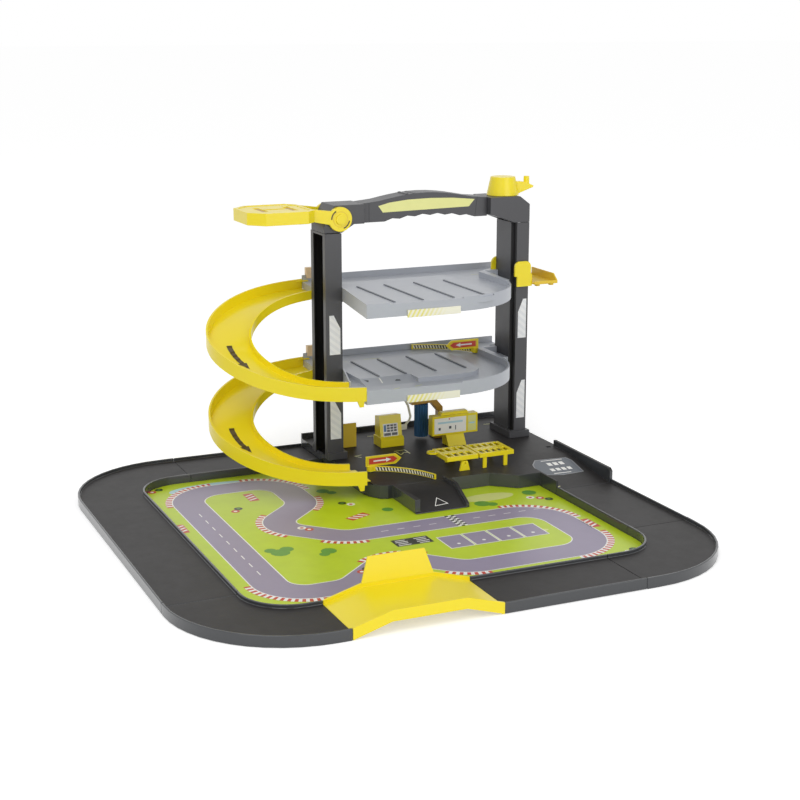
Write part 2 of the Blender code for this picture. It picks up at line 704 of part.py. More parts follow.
def right_head():
    """The hollow gear housing under the crank."""
    right = PILLAR_RIGHT_X + PILLAR_WIDTH / 2
    front = PILLAR_Y - PILLAR_DEPTH / 2
    back = PILLAR_Y + PILLAR_DEPTH / 2
    bottom = PILLAR_TOP + GAP
    crank_x = PILLAR_RIGHT_X - 2 * GEAR_PITCH_RADIUS
    outline = [(RIGHT_HEAD_LEFT, HANDLE_UNDERSIDE + 0.002),
               (RIGHT_HEAD_LEFT + 0.006, HANDLE_UNDERSIDE + 0.001),
               (PILLAR_RIGHT_X - PILLAR_WIDTH / 2, bottom), (right, bottom),
               (right, HEAD_TOP - HEAD_CHAMFER * 0.75),
               (right - HEAD_CHAMFER, HEAD_TOP), (RIGHT_HEAD_LEFT, HEAD_TOP)]
    solid = standing_prism(outline, front, back)
    room = GEAR_PITCH_RADIUS + 0.0035
    hollow = box(crank_x - room, right - GEAR_ROOM_SKIN, PILLAR_Y - room, PILLAR_Y + room,
                 bottom - 0.001, GEAR_BOTTOM + GEAR_WIDTH + 0.002)
    shaft_hole = cone(0.004 + GAP, 0.004 + GAP, bottom, HEAD_TOP + 0.001, crank_x, PILLAR_Y)
    socket = box(RIGHT_HEAD_LEFT - 0.001, RIGHT_HEAD_LEFT + 0.008, PILLAR_Y - 0.008 - GAP,
                 PILLAR_Y + 0.008 + GAP, HANDLE_UNDERSIDE + 0.005 - GAP,
                 HANDLE_UNDERSIDE + 0.017 + GAP)
    finish_piece("right_head", cut(solid, hollow, shaft_hole, socket), CHARCOAL, 0.4)


def handle_outline():
    """Side view of the carry handle: flat shoulders, a crowned middle and finger scallops."""
    left = LEFT_HEAD_RIGHT + GAP
    right = RIGHT_HEAD_LEFT - GAP
    length = right - left
    crown_left = left + 0.022
    crown_right = right - 0.022
    points = [(left, HANDLE_UNDERSIDE), (left, HEAD_TOP), (crown_left, HEAD_TOP + 0.002)]
    steps = 10
    for step in range(1, steps):
        share = step / steps
        lift = HANDLE_CROWN * math.sin(math.pi * share)
        points.append((crown_left + (crown_right - crown_left) * share, HEAD_TOP + 0.002 + lift))
    points += [(crown_right, HEAD_TOP + 0.002), (right, HEAD_TOP), (right, HANDLE_UNDERSIDE)]
    grip_right = right - 0.018
    grip_left = left + 0.030
    waves = GRIP_SCALLOPS * 4
    for step in range(waves + 1):
        share = step / waves
        arch = 0.005 * math.sin(math.pi * share)
        wave = GRIP_SCALLOP_DEPTH * (1 - math.cos(2 * math.pi * GRIP_SCALLOPS * share)) / 2
        points.append((grip_right + (grip_left - grip_right) * share,
                       HANDLE_UNDERSIDE + arch + wave))
    points.append((left + min(0.012, length / 10), HANDLE_UNDERSIDE))
    return points


def carry_handle():
    front = PILLAR_Y - HANDLE_DEPTH / 2
    back = PILLAR_Y + HANDLE_DEPTH / 2
    grip = standing_prism(handle_outline(), front, back)
    low = HANDLE_UNDERSIDE + 0.005
    tenons = [box(LEFT_HEAD_RIGHT - 0.0075, LEFT_HEAD_RIGHT + 0.004, PILLAR_Y - 0.008,
                  PILLAR_Y + 0.008, low, low + 0.012),
              box(RIGHT_HEAD_LEFT - 0.004, RIGHT_HEAD_LEFT + 0.0075, PILLAR_Y - 0.008,
                  PILLAR_Y + 0.008, low, low + 0.012)]
    finish_piece("carry_handle", join(grip, *tenons), CHARCOAL, 0.4)


# Decks

def deck_left_side(inset, waist):
    """The left end of a deck in plan, from the back round the left pillar to the front."""
    left = DECK_LEFT + inset
    edge = PILLAR_LEFT_X + PILLAR_WIDTH / 2 + inset
    points = [(left + DECK_BACK_LEAN, DECK_BACK - inset), (left, PILLAR_Y + PILLAR_DEPTH / 2),
              (edge, PILLAR_Y), (edge, PILLAR_Y - PILLAR_DEPTH / 2), (left, waist + inset)]
    if waist > DECK_FRONT:
        points.append((left, DECK_FRONT + inset))
    return points


def deck_lift_side(inset):
    """The right end of a deck in plan: round the lift's far plate to the lane behind it."""
    plate_left = PILLAR_RIGHT_X + LIFT_FAR_SHIFT - LIFT_FAR_WIDTH / 2 - LIFT_CLEAR - inset
    plate_back = PILLAR_Y + PILLAR_DEPTH / 2 + 2 * LIFT_CLEAR + LIFT_PLATE_SKIN + inset
    right = DECK_RIGHT - inset
    return [(plate_left, plate_back), (right, plate_back), (right, DECK_BACK - inset)]


def deck_outline(inset, waist):
    """Plan of a deck: straight front, a round nose, a tongue to the right pillar, a lane behind."""
    centre_y = DECK_FRONT + DECK_NOSE
    points = deck_left_side(inset, waist)
    points += arc(DECK_FLAT_FRONT, centre_y, DECK_NOSE - inset, -90, -4, 14)
    tongue_front = PILLAR_Y - DECK_TONGUE_HALF + inset
    pillar_left = PILLAR_RIGHT_X - PILLAR_WIDTH / 2 - GAP - inset
    pillar_rear = PILLAR_Y + PILLAR_DEPTH / 2 - inset
    lift_side = deck_lift_side(inset)
    points += [(DECK_RIM_RIGHT - inset, tongue_front), (pillar_left, tongue_front),
               (pillar_left, pillar_rear), (lift_side[0][0], pillar_rear)]
    return points + lift_side


def deck_room(waist):
    """Plan of the open room inside a deck's rims, with a broad rim on the nose's right."""
    nose = DECK_NOSE - DECK_SKIN
    last = -math.degrees(math.acos((DECK_RIM_LEFT - DECK_FLAT_FRONT) / nose))
    points = deck_left_side(DECK_SKIN, waist)
    points += arc(DECK_FLAT_FRONT, DECK_FRONT + DECK_NOSE, nose, -90, last, 12)
    points.append((DECK_RIM_LEFT, DECK_LANE_WALL))
    return points + deck_lift_side(DECK_SKIN)


def pillar_notch(inset):
    """The room that the left pillar takes out of a deck."""
    half = PILLAR_WIDTH / 2 + GAP + inset
    depth = PILLAR_DEPTH / 2 + GAP + inset
    return box(DECK_LEFT - 0.010, PILLAR_LEFT_X + half, PILLAR_Y - depth, PILLAR_Y + depth,
               0.0, PILLAR_TOP)


def bay_ribs(top, front, back, shift):
    """The low ribs between parking bays."""
    ribs = []
    for place in BAY_RIBS:
        x = place - shift
        ribs.append(box(x - BAY_RIB_WIDTH / 2, x + BAY_RIB_WIDTH / 2, front, back, top - SINK,
                        top + BAY_RIB))
    return ribs


def bay_island(bottom, sloped):
    """The raised parking bays: behind a slope, or level up to the front rim."""
    floor = bottom + DECK_FLOOR - SINK
    top = bottom + DECK_FLOOR + BAY_RISE
    left = PILLAR_LEFT_X + PILLAR_WIDTH / 2 + ISLAND_MARGIN
    right = left + ISLAND_LENGTH
    back = DECK_BACK - RAMP_LANE - ISLAND_MARGIN
    nose = ISLAND_NOSE
    if sloped:
        front = DECK_FRONT + RAMP_LANE - ISLAND_OVERHANG
        slope_top = front + ISLAND_SLOPE
        corner = left + ISLAND_SLOPE_LENGTH
        outline = [(left, slope_top), (corner, slope_top), (corner, front)]
    else:
        front = DECK_FRONT + DECK_SKIN - SINK
        outline = [(left, PILLAR_Y - PILLAR_DEPTH / 2), (DECK_LEFT + DECK_SKIN - SINK, front)]
    outline += arc(right - nose, front + nose, nose, -90, 0, 6)
    outline += [(right, back - nose / 4), (right - nose / 4, back), (left, back)]
    island = prism(outline, floor, top)
    if not sloped:
        return join(island, *bay_ribs(top, UPPER_RIB_FRONT, UPPER_RIB_BACK, UPPER_RIB_SHIFT))
    slope = side_prism([(front, floor), (slope_top + SINK, floor), (slope_top + SINK, top)],
                       left, corner + SINK)
    ribs = bay_ribs(top, slope_top + ISLAND_MARGIN, back - ISLAND_BACK_MARGIN, 0.0)
    return join(island, slope, *ribs)


def deck(name, bottom, ramp_arrives):
    """A floor with rims, open where the ramps meet it, and a raised island of bays."""
    top = bottom + DECK_DEPTH
    floor = bottom + DECK_FLOOR
    waist = DECK_FRONT + (RAMP_LANE if ramp_arrives else 0.0)
    solid = prism(deck_outline(0.0, waist), bottom, top)
    upper_room = prism(deck_room(waist), floor, top + 0.001)
    lower_room = prism(deck_outline(DECK_SKIN, waist), bottom - 0.001, floor - DECK_SKIN)
    lower_room = cut(lower_room, pillar_notch(DECK_SKIN))
    mouth_front = DECK_BACK - RAMP_LANE + DECK_SKIN
    back_mouth = box(DECK_LEFT - 0.001, DECK_LEFT + DECK_BACK_LEAN + DECK_SKIN + SINK, mouth_front,
                     DECK_BACK - DECK_SKIN, floor, top + 0.001)
    lift_mouth = box(DECK_RIGHT - DECK_SKIN - SINK, DECK_RIGHT + 0.001,
                     PILLAR_Y + PILLAR_DEPTH / 2 + 0.008, DECK_BACK - DECK_SKIN, floor,
                     top + 0.001)
    low_front = box(DECK_LEFT + 0.030, DECK_FLAT_FRONT, DECK_FRONT - 0.001,
                    DECK_FRONT + DECK_SKIN + SINK, floor + DECK_FRONT_LIP, top + 0.001)
    tongue_top = box(DECK_RIM_RIGHT, PILLAR_RIGHT_X, PILLAR_Y - PILLAR_DEPTH / 2,
                     DECK_LANE_WALL + 0.002, floor, top + 0.001)
    solid = cut(solid, upper_room, lower_room, pillar_notch(0.0), back_mouth, lift_mouth,
                low_front, tongue_top)
    solid = join(solid, bay_island(bottom, ramp_arrives))
    if ramp_arrives:
        ledge_depth = RAMP_TONGUE_THICKNESS + RAMP_TONGUE_DROP + GAP
        front_mouth = box(DECK_LEFT - 0.001, DECK_LEFT + DECK_SKIN + SINK, DECK_FRONT + DECK_SKIN,
                          DECK_FRONT + RAMP_LANE - DECK_SKIN, floor, top + 0.001)
        ledge = box(DECK_LEFT - 0.001, DECK_LEFT + RAMP_TONGUE + GAP,
                    DECK_FRONT + DECK_SKIN + 0.001, DECK_FRONT + RAMP_LANE - DECK_SKIN - 0.001,
                    floor - ledge_depth, floor + 0.001)
        solid = cut(solid, front_mouth, ledge)
    finish_piece(name, solid, GREY, 0.35)


def deck_shelf(name, x, side, bottom):
    """A small corbel on a pillar's inner face that carries a deck."""
    face = x - side * (PILLAR_WIDTH / 2 + GAP)
    tip = face - side * SHELF_DEPTH
    top = bottom - GAP
    outline = [(face, top), (tip, top), (tip, top - 0.002), (face, top - 0.010)]
    solid = standing_prism(outline, PILLAR_Y - 0.010, PILLAR_Y + 0.010)
    finish_piece(name, solid, CHARCOAL, 0.4)


def front_board(name, bottom):
    """The striped strip along the lower front edge of a deck."""
    back = DECK_FRONT - GAP
    solid = box(BOARD_LEFT, BOARD_LEFT + BOARD_WIDTH, back - BOARD_THICKNESS, back, bottom - 0.002,
                bottom - 0.002 + BOARD_HEIGHT)
    finish_piece(name, solid, CREAM, 0.35)


# Curved ramps

def ramp_path():
    """Inner edge of a ramp in plan and the way to its outer edge: back, round the left, front."""
    centre_x = DECK_LEFT - GAP
    centre_y = DECK_FRONT + RAMP_OUTER
    spread = (RAMP_OUTER_REACH - RAMP_INNER_REACH) / RAMP_LANE
    path = []
    for x, y in arc(0.0, 0.0, 1.0, 90, 270, RAMP_STEPS):
        path.append((centre_x + RAMP_INNER_REACH * x, centre_y + RAMP_INNER * y, (spread * x, y)))
    first_x, first_y, _ = path[0]
    path[0] = (first_x, first_y, (DECK_BACK_LEAN / RAMP_LANE, 1.0))
    return path


def ramp_fall(path):
    """Share of the drop at each point of the path, gentle at both ends."""
    middles = [Vector((x + outward[0] * RAMP_LANE / 2, y + outward[1] * RAMP_LANE / 2))
               for x, y, outward in path]
    lengths = [0.0]
    for near, far in zip(middles, middles[1:]):
        lengths.append(lengths[-1] + (far - near).length)
    shares = [length / lengths[-1] for length in lengths]
    return [share - RAMP_EASE * math.sin(2 * math.pi * share) / (2 * math.pi) for share in shares]


def ramp_tongue(front, floor):
    """A thin tongue that goes under or over a deck's left end."""
    return box(DECK_LEFT - RAMP_SKIN / 2, DECK_LEFT + RAMP_TONGUE, front + DECK_SKIN + 0.002,
               front + RAMP_LANE - DECK_SKIN - 0.002,
               floor - RAMP_TONGUE_THICKNESS - RAMP_TONGUE_DROP, floor - RAMP_TONGUE_DROP)


def ramp(name, deck_floor):
    """A half turn from under the back of one level to the front of the level below."""
    section = channel_section(RAMP_LANE, RAMP_SKIN, 0.0, RAMP_INNER_WALL, RAMP_OUTER_WALL,
                              -RAMP_SKIRT)
    start = deck_floor - DECK_FLOOR
    finish = deck_floor - STOREY
    path = ramp_path()
    stations = []
    for (x, y, outward), share in zip(path, ramp_fall(path)):
        height = start + (finish - start) * share
        stations.append(lambda point, x=x, y=y, outward=outward, height=height: (
            x + outward[0] * point[0], y + outward[1] * point[0], height + point[1]))
    solid = swept(section, stations)
    lug_left = DECK_LEFT - RAMP_LUG - 0.003
    lug_top = finish - 0.001
    lug = standing_prism([(lug_left, lug_top), (DECK_LEFT - 0.003, lug_top),
                          (DECK_LEFT - 0.004, lug_top - RAMP_LUG), (lug_left + 0.004, lug_top - RAMP_LUG)],
                         DECK_FRONT + SHAVE, DECK_FRONT + RAMP_SKIN - SHAVE)
    hook_back = DECK_BACK - DECK_SKIN - GAP
    hook_front = hook_back - RAMP_HOOK_WIDTH
    hook_bottom = deck_floor + GAP
    hook_top = hook_bottom + RAMP_HOOK_THICKNESS
    hook = box(DECK_LEFT - RAMP_HOOK_ROOT, DECK_LEFT + RAMP_HOOK_REACH, hook_front, hook_back,
               hook_bottom, hook_top)
    hook_root = box(DECK_LEFT - RAMP_HOOK_ROOT, DECK_LEFT + RAMP_SKIN, hook_front,
                    hook_back + RAMP_SKIN / 2, hook_bottom, hook_top)
    solid = join(solid, ramp_tongue(DECK_FRONT, finish), ramp_tongue(DECK_BACK - RAMP_LANE, start),
                 lug, join(hook, hook_root))
    finish_piece(name, solid, YELLOW, 0.3)


def ramp_clip(name, bottom):
    """A clip over the deck's back rim where a ramp starts."""
    top = bottom + DECK_DEPTH
    outer = box(CLIP_LEFT, CLIP_LEFT + CLIP_WIDTH, DECK_BACK - DECK_SKIN - 0.0025,
                DECK_BACK + 0.002, top - 0.004, top + 0.010)
    slot = box(CLIP_LEFT - 0.001, CLIP_LEFT + CLIP_WIDTH + 0.001, DECK_BACK - DECK_SKIN - GAP,
               DECK_BACK + GAP, top - 0.005, top + GAP)
    finish_piece(name, cut(outer, slot), YELLOW, 0.3)


# Lift

def thread_point(angle, height, radius):
    return (radius * math.cos(angle), radius * math.sin(angle), height)


def thread_start():
    """Height of the thread's middle at its lower end, a little under the peg's lowest place."""
    return LIFT_LOWEST + LIFT_PEG_HEIGHT - THREAD_RUNOUT


def lift_screw(screw_top):
    """A long screw of few turns; its groove carries the peg of the carriage."""
    core = cone(SCREW_CORE, SCREW_CORE, SCREW_BOTTOM, screw_top, steps=16)
    bottom = thread_start()
    top = PILLAR_TOP - 0.006
    half = SCREW_THREAD_WIDTH / 2
    turns = (top - bottom - half) / LIFT_LEAD
    steps = int(turns * 14)
    inner = SCREW_CORE - SINK
    section = [(inner, -half), (SCREW_THREAD, -half), (SCREW_THREAD, half), (inner, half)]
    stations = []
    for step in range(steps + 1):
        angle = math.radians(180) + 2 * math.pi * turns * step / steps
        height = bottom + (top - bottom - half) * step / steps
        stations.append(lambda point, angle=angle, height=height: thread_point(
            angle, height + point[1], point[0]))
    thread = swept(section, stations)
    solid = move(join(core, thread), PILLAR_RIGHT_X, PILLAR_Y)
    return solid


def gear_outline(phase):
    """Straight-sided teeth with backlash."""
    points = []
    root = GEAR_PITCH_RADIUS - 0.0016
    tip = GEAR_PITCH_RADIUS + 0.0012
    pitch = 360 / GEAR_TEETH
    for tooth in range(GEAR_TEETH):
        middle = phase + tooth * pitch
        for radius, share in ((root, -0.30), (tip, -0.13), (tip, 0.13), (root, 0.30)):
            angle = math.radians(middle + share * pitch)
            points.append((radius * math.cos(angle), radius * math.sin(angle)))
    return points


def gear(phase, x, bore):
    """A spur gear at x with a bore."""
    solid = prism(gear_outline(phase), GEAR_BOTTOM, GEAR_BOTTOM + GEAR_WIDTH)
    hole = cone(bore, bore, GEAR_BOTTOM - 0.001, GEAR_BOTTOM + GEAR_WIDTH + 0.001, steps=16)
    return move(cut(solid, hole), x, PILLAR_Y)


def lift_drive():
    """Crank, its shaft and gear, and the screw with its gear and two bearings."""
    crank_x = PILLAR_RIGHT_X - 2 * GEAR_PITCH_RADIUS
    crank_origin = (crank_x, PILLAR_Y, HEAD_TOP)
    screw_origin = (PILLAR_RIGHT_X, PILLAR_Y, PILLAR_TOP)
    shaft_top = HEAD_TOP + SHAFT_RISE
    shaft = cone(SHAFT_RADIUS, SHAFT_RADIUS, GEAR_BOTTOM - 0.002, shaft_top, crank_x, PILLAR_Y, 16)
    shaft = finish_piece("crank_shaft", shaft, STEEL, 0.3, 0.9, crank_origin)
    crank_gear = finish_piece("crank_gear", gear(0.0, crank_x, SHAFT_RADIUS + GAP), CREAM, 0.5,
                              0.0, crank_origin)
    bottom = HEAD_TOP + GAP
    drum = cone(CRANK_FOOT_RADIUS, CRANK_TOP_RADIUS, bottom, bottom + CRANK_HEIGHT, crank_x,
                PILLAR_Y, 32)
    fin = [(0.008, 0.001), (0.019, 0.001), (CRANK_ARM + 0.0075, 0.009),
           (CRANK_ARM + 0.0075, 0.011), (CRANK_ARM - 0.0035, 0.0158), (0.008, 0.018)]
    arm = standing_prism([(crank_x + x, bottom + z) for x, z in fin], PILLAR_Y - CRANK_FIN_HALF,
                         PILLAR_Y + CRANK_FIN_HALF)
    knob = cone(CRANK_KNOB_RADIUS, CRANK_KNOB_RADIUS * 0.9, bottom + CRANK_KNOB_BOTTOM,
                bottom + CRANK_KNOB_TOP, crank_x + CRANK_ARM, PILLAR_Y, 16)
    solid = join(drum, arm, knob)
    solid = turn(solid, CRANK_ARM_ANGLE, "Z", (crank_x, PILLAR_Y, 0.0))
    bore = cone(SHAFT_RADIUS + GAP, SHAFT_RADIUS + GAP, bottom - 0.001, shaft_top + GAP, crank_x,
                PILLAR_Y, 16)
    crank = finish_piece("lift_crank", cut(solid, bore), YELLOW, 0.3, 0.0, crank_origin)
    screw_top = GEAR_BOTTOM + GEAR_WIDTH
    screw = finish_piece("lift_screw", lift_screw(screw_top), CREAM, 0.5, 0.0, screw_origin)
    half_pitch = 180 + 180 / GEAR_TEETH
    screw_gear = finish_piece("screw_gear", gear(half_pitch, PILLAR_RIGHT_X, SCREW_CORE + GAP),
                              CREAM, 0.5, 0.0, screw_origin)
    for child in (shaft, crank_gear):
        ride_on(child, crank)
    ride_on(screw_gear, screw)
    top_bearing = cone(BEARING_RADIUS, BEARING_RADIUS, PILLAR_TOP + GAP, GEAR_BOTTOM - GAP,
                       PILLAR_RIGHT_X, PILLAR_Y)
    top_bore = cone(SCREW_CORE + GAP, SCREW_CORE + GAP, PILLAR_TOP, GEAR_BOTTOM, PILLAR_RIGHT_X,
                    PILLAR_Y, 16)
    finish_piece("screw_top_bearing", cut(top_bearing, top_bore), STEEL, 0.4, 0.5)
    low_bearing = cone(BEARING_RADIUS, BEARING_RADIUS, BASE_TOP + GAP, BASE_TOP + 0.008,
                       PILLAR_RIGHT_X, PILLAR_Y)
    low_bore = cone(SCREW_CORE + GAP, SCREW_CORE + GAP, SCREW_BOTTOM - GAP, BASE_TOP + 0.009,
                    PILLAR_RIGHT_X, PILLAR_Y, 16)
    finish_piece("screw_low_bearing", cut(low_bearing, low_bore), STEEL, 0.4, 0.5)


def rounded_plate(centre_x, width, bottom, height, front, back):
    """An upright plate with a rounded top."""
    half = width / 2
    radius = half * 0.6
    outline = [(centre_x - half, bottom), (centre_x + half, bottom)]
    outline += arc(centre_x + half - radius, bottom + height - radius, radius, 0, 90, 6)
    outline += arc(centre_x - half + radius, bottom + height - radius, radius, 90, 180, 6)
    return standing_prism(outline, front, back)


def lift_carriage():
    """Two plates beside the pillar, joined by a back plate with a nut that runs on the screw."""
    front = PILLAR_Y - PILLAR_DEPTH / 2
    back = PILLAR_Y + PILLAR_DEPTH / 2
    pillar_right = PILLAR_RIGHT_X + PILLAR_WIDTH / 2
    clear = LIFT_CLEAR
    bottom = LIFT_PLATE_BOTTOM
    near_x = PILLAR_RIGHT_X + LIFT_NEAR_SHIFT
    near = rounded_plate(near_x, LIFT_NEAR_WIDTH, bottom, LIFT_PLATE_HEIGHT,
                         front - clear - LIFT_PLATE_SKIN, front - clear)
    near_left = near_x - LIFT_NEAR_WIDTH / 2
    near = cut(near, box(near_left - 0.001, near_left + LIFT_NOTCH_WIDTH, front - 0.010, front,
                         bottom - 0.001, bottom + LIFT_NOTCH_HEIGHT))
    far = rounded_plate(PILLAR_RIGHT_X + LIFT_FAR_SHIFT, LIFT_FAR_WIDTH, bottom, LIFT_PLATE_HEIGHT,
                        back + clear, back + clear + LIFT_PLATE_SKIN)
    link = box(pillar_right + clear, TRAY_LEFT - GAP, front - clear - LIFT_LINK_BITE,
               back + clear + LIFT_LINK_BITE, bottom, bottom + LIFT_LINK_HEIGHT)
    neck = box(PILLAR_RIGHT_X + 0.002, pillar_right + clear + SINK, PILLAR_Y - 0.0085,
               PILLAR_Y + 0.0085, bottom + 0.002, bottom + 0.014)
    nut = cone(0.0085, 0.0085, bottom + 0.002, bottom + 0.014, PILLAR_RIGHT_X, PILLAR_Y, 24)
    solid = join(link, near, far, neck, nut)
    bore = cone(SCREW_THREAD + GAP, SCREW_THREAD + GAP, bottom - 0.001, bottom + 0.015,
                PILLAR_RIGHT_X, PILLAR_Y, 24)
    solid = cut(solid, bore)
    peg_height = bottom + LIFT_PEG_HEIGHT
    turned = (peg_height - thread_start()) / LIFT_LEAD * 360
    peg_angle = math.radians(180 + turned + 180)
    peg = box(SCREW_CORE + 2 * GAP, SCREW_THREAD + 0.0012, -0.0012, 0.0012, peg_height - 0.0012,
              peg_height + 0.0012)
    peg = move(turn(peg, math.degrees(peg_angle), "Z"), PILLAR_RIGHT_X, PILLAR_Y)
    solid = join(solid, peg)
    origin = (PILLAR_RIGHT_X, PILLAR_Y, bottom)
    return finish_piece("lift_carriage", solid, YELLOW, 0.3, 0.0, origin)


def lift_tray(carriage):
    """An open tray with an outer wall that slants down at the front, two low ends and small feet."""
    left = TRAY_LEFT
    right = TRAY_LEFT + TRAY_WIDTH
    front = PILLAR_Y - TRAY_LENGTH / 2
    back = PILLAR_Y + TRAY_LENGTH / 2
    floor = box(left, right, front, back, TRAY_FLOOR, TRAY_FLOOR + TRAY_SKIN)
    end_top = TRAY_FLOOR + TRAY_END_WALL
    wall_top = TRAY_FLOOR + TRAY_WALL
    wall = side_prism([(front, TRAY_FLOOR), (back, TRAY_FLOOR), (back, wall_top),
                       (front + TRAY_WALL_SLANT, wall_top), (front, end_top)],
                      right - TRAY_SKIN, right)
    near = box(left, right, front, front + TRAY_SKIN, TRAY_FLOOR, end_top)
    far = box(left, right, back - TRAY_SKIN, back, TRAY_FLOOR, end_top)
    heel = box(left, left + TRAY_SKIN, PILLAR_Y - 0.024, PILLAR_Y + 0.024, TRAY_FLOOR,
               TRAY_FLOOR + 0.010)
    feet = [box(x, x + 0.005, y, y + 0.006, TRAY_FLOOR - 0.0025, TRAY_FLOOR + SINK)
            for x in (left + 0.004, right - 0.010) for y in (front + 0.002, back - 0.008)]
    solid = join(floor, wall, near, far, heel, *feet)
    tray = finish_piece("lift_tray", solid, YELLOW, 0.3, 0.0, carriage.location)
    ride_on(tray, carriage)


# Helipad

def pad_outline(inset):
    left = PAD_LEFT + inset
    right = PAD_RIGHT - inset
    front = PILLAR_Y - PAD_DEPTH / 2 + inset
    back = PILLAR_Y + PAD_DEPTH / 2 - inset
    chamfer = PAD_CHAMFER
    short = PAD_SHORT_CHAMFER
    return [(left + chamfer, front), (right - short, front), (right, front + short),
            (right, back - short), (right - short, back), (left + chamfer, back),
            (left, back - chamfer), (left, front + chamfer)]


def helipad():
    """A flat pad whose two ears turn on a pin through the left head."""
    pin_front = PILLAR_Y - PILLAR_DEPTH / 2 + 0.003 - GAP
    pin_back = PILLAR_Y + PILLAR_DEPTH / 2 - 0.003 + GAP
    origin = (PAD_HINGE_X, PILLAR_Y, PAD_HINGE_Z)
    pad = prism(pad_outline(0.0), PAD_BOTTOM, PAD_TOP)
    dish = prism(pad_outline(PAD_DISH_EDGE), PAD_TOP - PAD_DISH, PAD_TOP + 0.001)
    hollow = prism(pad_outline(PAD_SKIN), PAD_BOTTOM - 0.001, PAD_TOP - PAD_DISH - PAD_SKIN)
    bars = []
    mark_top = PAD_TOP
    mark_low = PAD_TOP - PAD_DISH - 0.0012
    for x in PAD_MARKS:
        bars.append(box(x, x + PAD_MARK_WIDTH, PILLAR_Y - PAD_MARK_HALF, PILLAR_Y + PAD_MARK_HALF,
                        mark_low, mark_top))
    bars.append(box(PAD_MARKS[0] + PAD_MARK_WIDTH / 2, PAD_MARKS[1] + PAD_MARK_WIDTH / 2,
                    PILLAR_Y - PAD_MARK_WIDTH / 2, PILLAR_Y + PAD_MARK_WIDTH / 2, mark_low,
                    mark_top))
    pad = cut(pad, dish, hollow, *bars)
    ears = []
    for front, back in ((pin_front - PAD_EAR_THICKNESS, pin_front),
                        (pin_back, pin_back + PAD_EAR_THICKNESS)):
        ear = rod_along_y(PAD_EAR_RADIUS, front, back, PAD_HINGE_X, PAD_HINGE_Z, 32)
        arm = standing_prism([(PAD_RIGHT - 0.002, PAD_BOTTOM), (PAD_HINGE_X, PAD_HINGE_Z - 0.009),
                              (PAD_HINGE_X, PAD_HINGE_Z + 0.009), (PAD_RIGHT - 0.002, PAD_TOP)],
                             front, back)
        bore = rod_along_y(PAD_PIN_RADIUS + GAP, front - 0.001, back + 0.001, PAD_HINGE_X,
                           PAD_HINGE_Z)
        ears.append(cut(join(ear, arm), bore))
    pad = join(pad, *ears)
    pad = finish_piece("helipad", pad, YELLOW, 0.3, 0.0, origin)
    pin = rod_along_y(PAD_PIN_RADIUS, pin_front - PAD_EAR_THICKNESS + 0.001,
                      pin_back + PAD_EAR_THICKNESS - 0.001, PAD_HINGE_X, PAD_HINGE_Z)
    finish_piece("helipad_pin", pin, STEEL, 0.3, 0.9)
    for name, front, back in (
            ("helipad_cap_front", pin_front - PAD_EAR_THICKNESS - 0.0018,
             pin_front - PAD_EAR_THICKNESS - GAP),
            ("helipad_cap_rear", pin_back + PAD_EAR_THICKNESS + GAP,
             pin_back + PAD_EAR_THICKNESS + 0.0018)):
        cap = rod_along_y(0.0062, front, back, PAD_HINGE_X, PAD_HINGE_Z)
        cap = finish_piece(name, cap, YELLOW, 0.3, 0.0, origin)
        ride_on(cap, pad)


# Gates

def arrow_sign(centre_x, bottom, width, height, point_right, front, back):
    """A sign board with an arrow-shaped end."""
    half = width / 2
    middle = bottom + height / 2
    tip = min(height * 0.6, width * 0.3)
    outline = [(-half, bottom), (half - tip, bottom), (half, middle),
               (half - tip, bottom + height), (-half, bottom + height)]
    if not point_right:
        outline = [(-x, z) for x, z in reversed(outline)]
    return standing_prism([(centre_x + x, z) for x, z in outline], front, back)


def curved_rail(radius, start, sweep, bottom, height):
    """An upright rail bent to an arc that starts at the origin."""
    centre_x = -radius * math.cos(math.radians(start))
    centre_y = -radius * math.sin(math.radians(start))
    half = GATE_RAIL_THICKNESS / 2
    outer = arc(centre_x, centre_y, radius + half, start, start + sweep, 12)
    inner = arc(centre_x, centre_y, radius - half, start + sweep, start, 12)
    return prism(outer + inner, bottom, bottom + height)


def gate(name, pin_name, x, y, level, rail, sign_shift, point_right):
    """A swinging gate: a striped rail with a sign over its pivot end, on a pin."""
    low = level + 0.001
    hub = cone(0.0045, 0.0045, low, low + GATE_RAIL_HEIGHT, 0.0, 0.0, 16)
    sign = arrow_sign(sign_shift, low + GATE_RAIL_HEIGHT - SINK, GATE_SIGN_WIDTH,
                      GATE_SIGN_HEIGHT, point_right, -GATE_RAIL_THICKNESS / 2,
                      GATE_RAIL_THICKNESS / 2)
    post = box(-0.0035, 0.0035, -GATE_RAIL_THICKNESS / 2, GATE_RAIL_THICKNESS / 2, low + 0.004,
               low + GATE_RAIL_HEIGHT + 0.003)
    solid = join(hub, rail, post, sign)
    bore = cone(GATE_PIN_RADIUS + GAP, GATE_PIN_RADIUS + GAP, low - 0.001,
                low + GATE_RAIL_HEIGHT - 0.0015, 0.0, 0.0, 12)
    solid = move(cut(solid, bore), x, y)
    finish_piece(name, solid, YELLOW, 0.35, 0.0, (x, y, level))
    pin = cone(GATE_PIN_RADIUS, GATE_PIN_RADIUS, level - 0.0055 if level < 0.05 else level + GAP,
               low + GATE_RAIL_HEIGHT - 0.002, x, y, 12)
    finish_piece(pin_name, pin, STEEL, 0.3, 0.9)


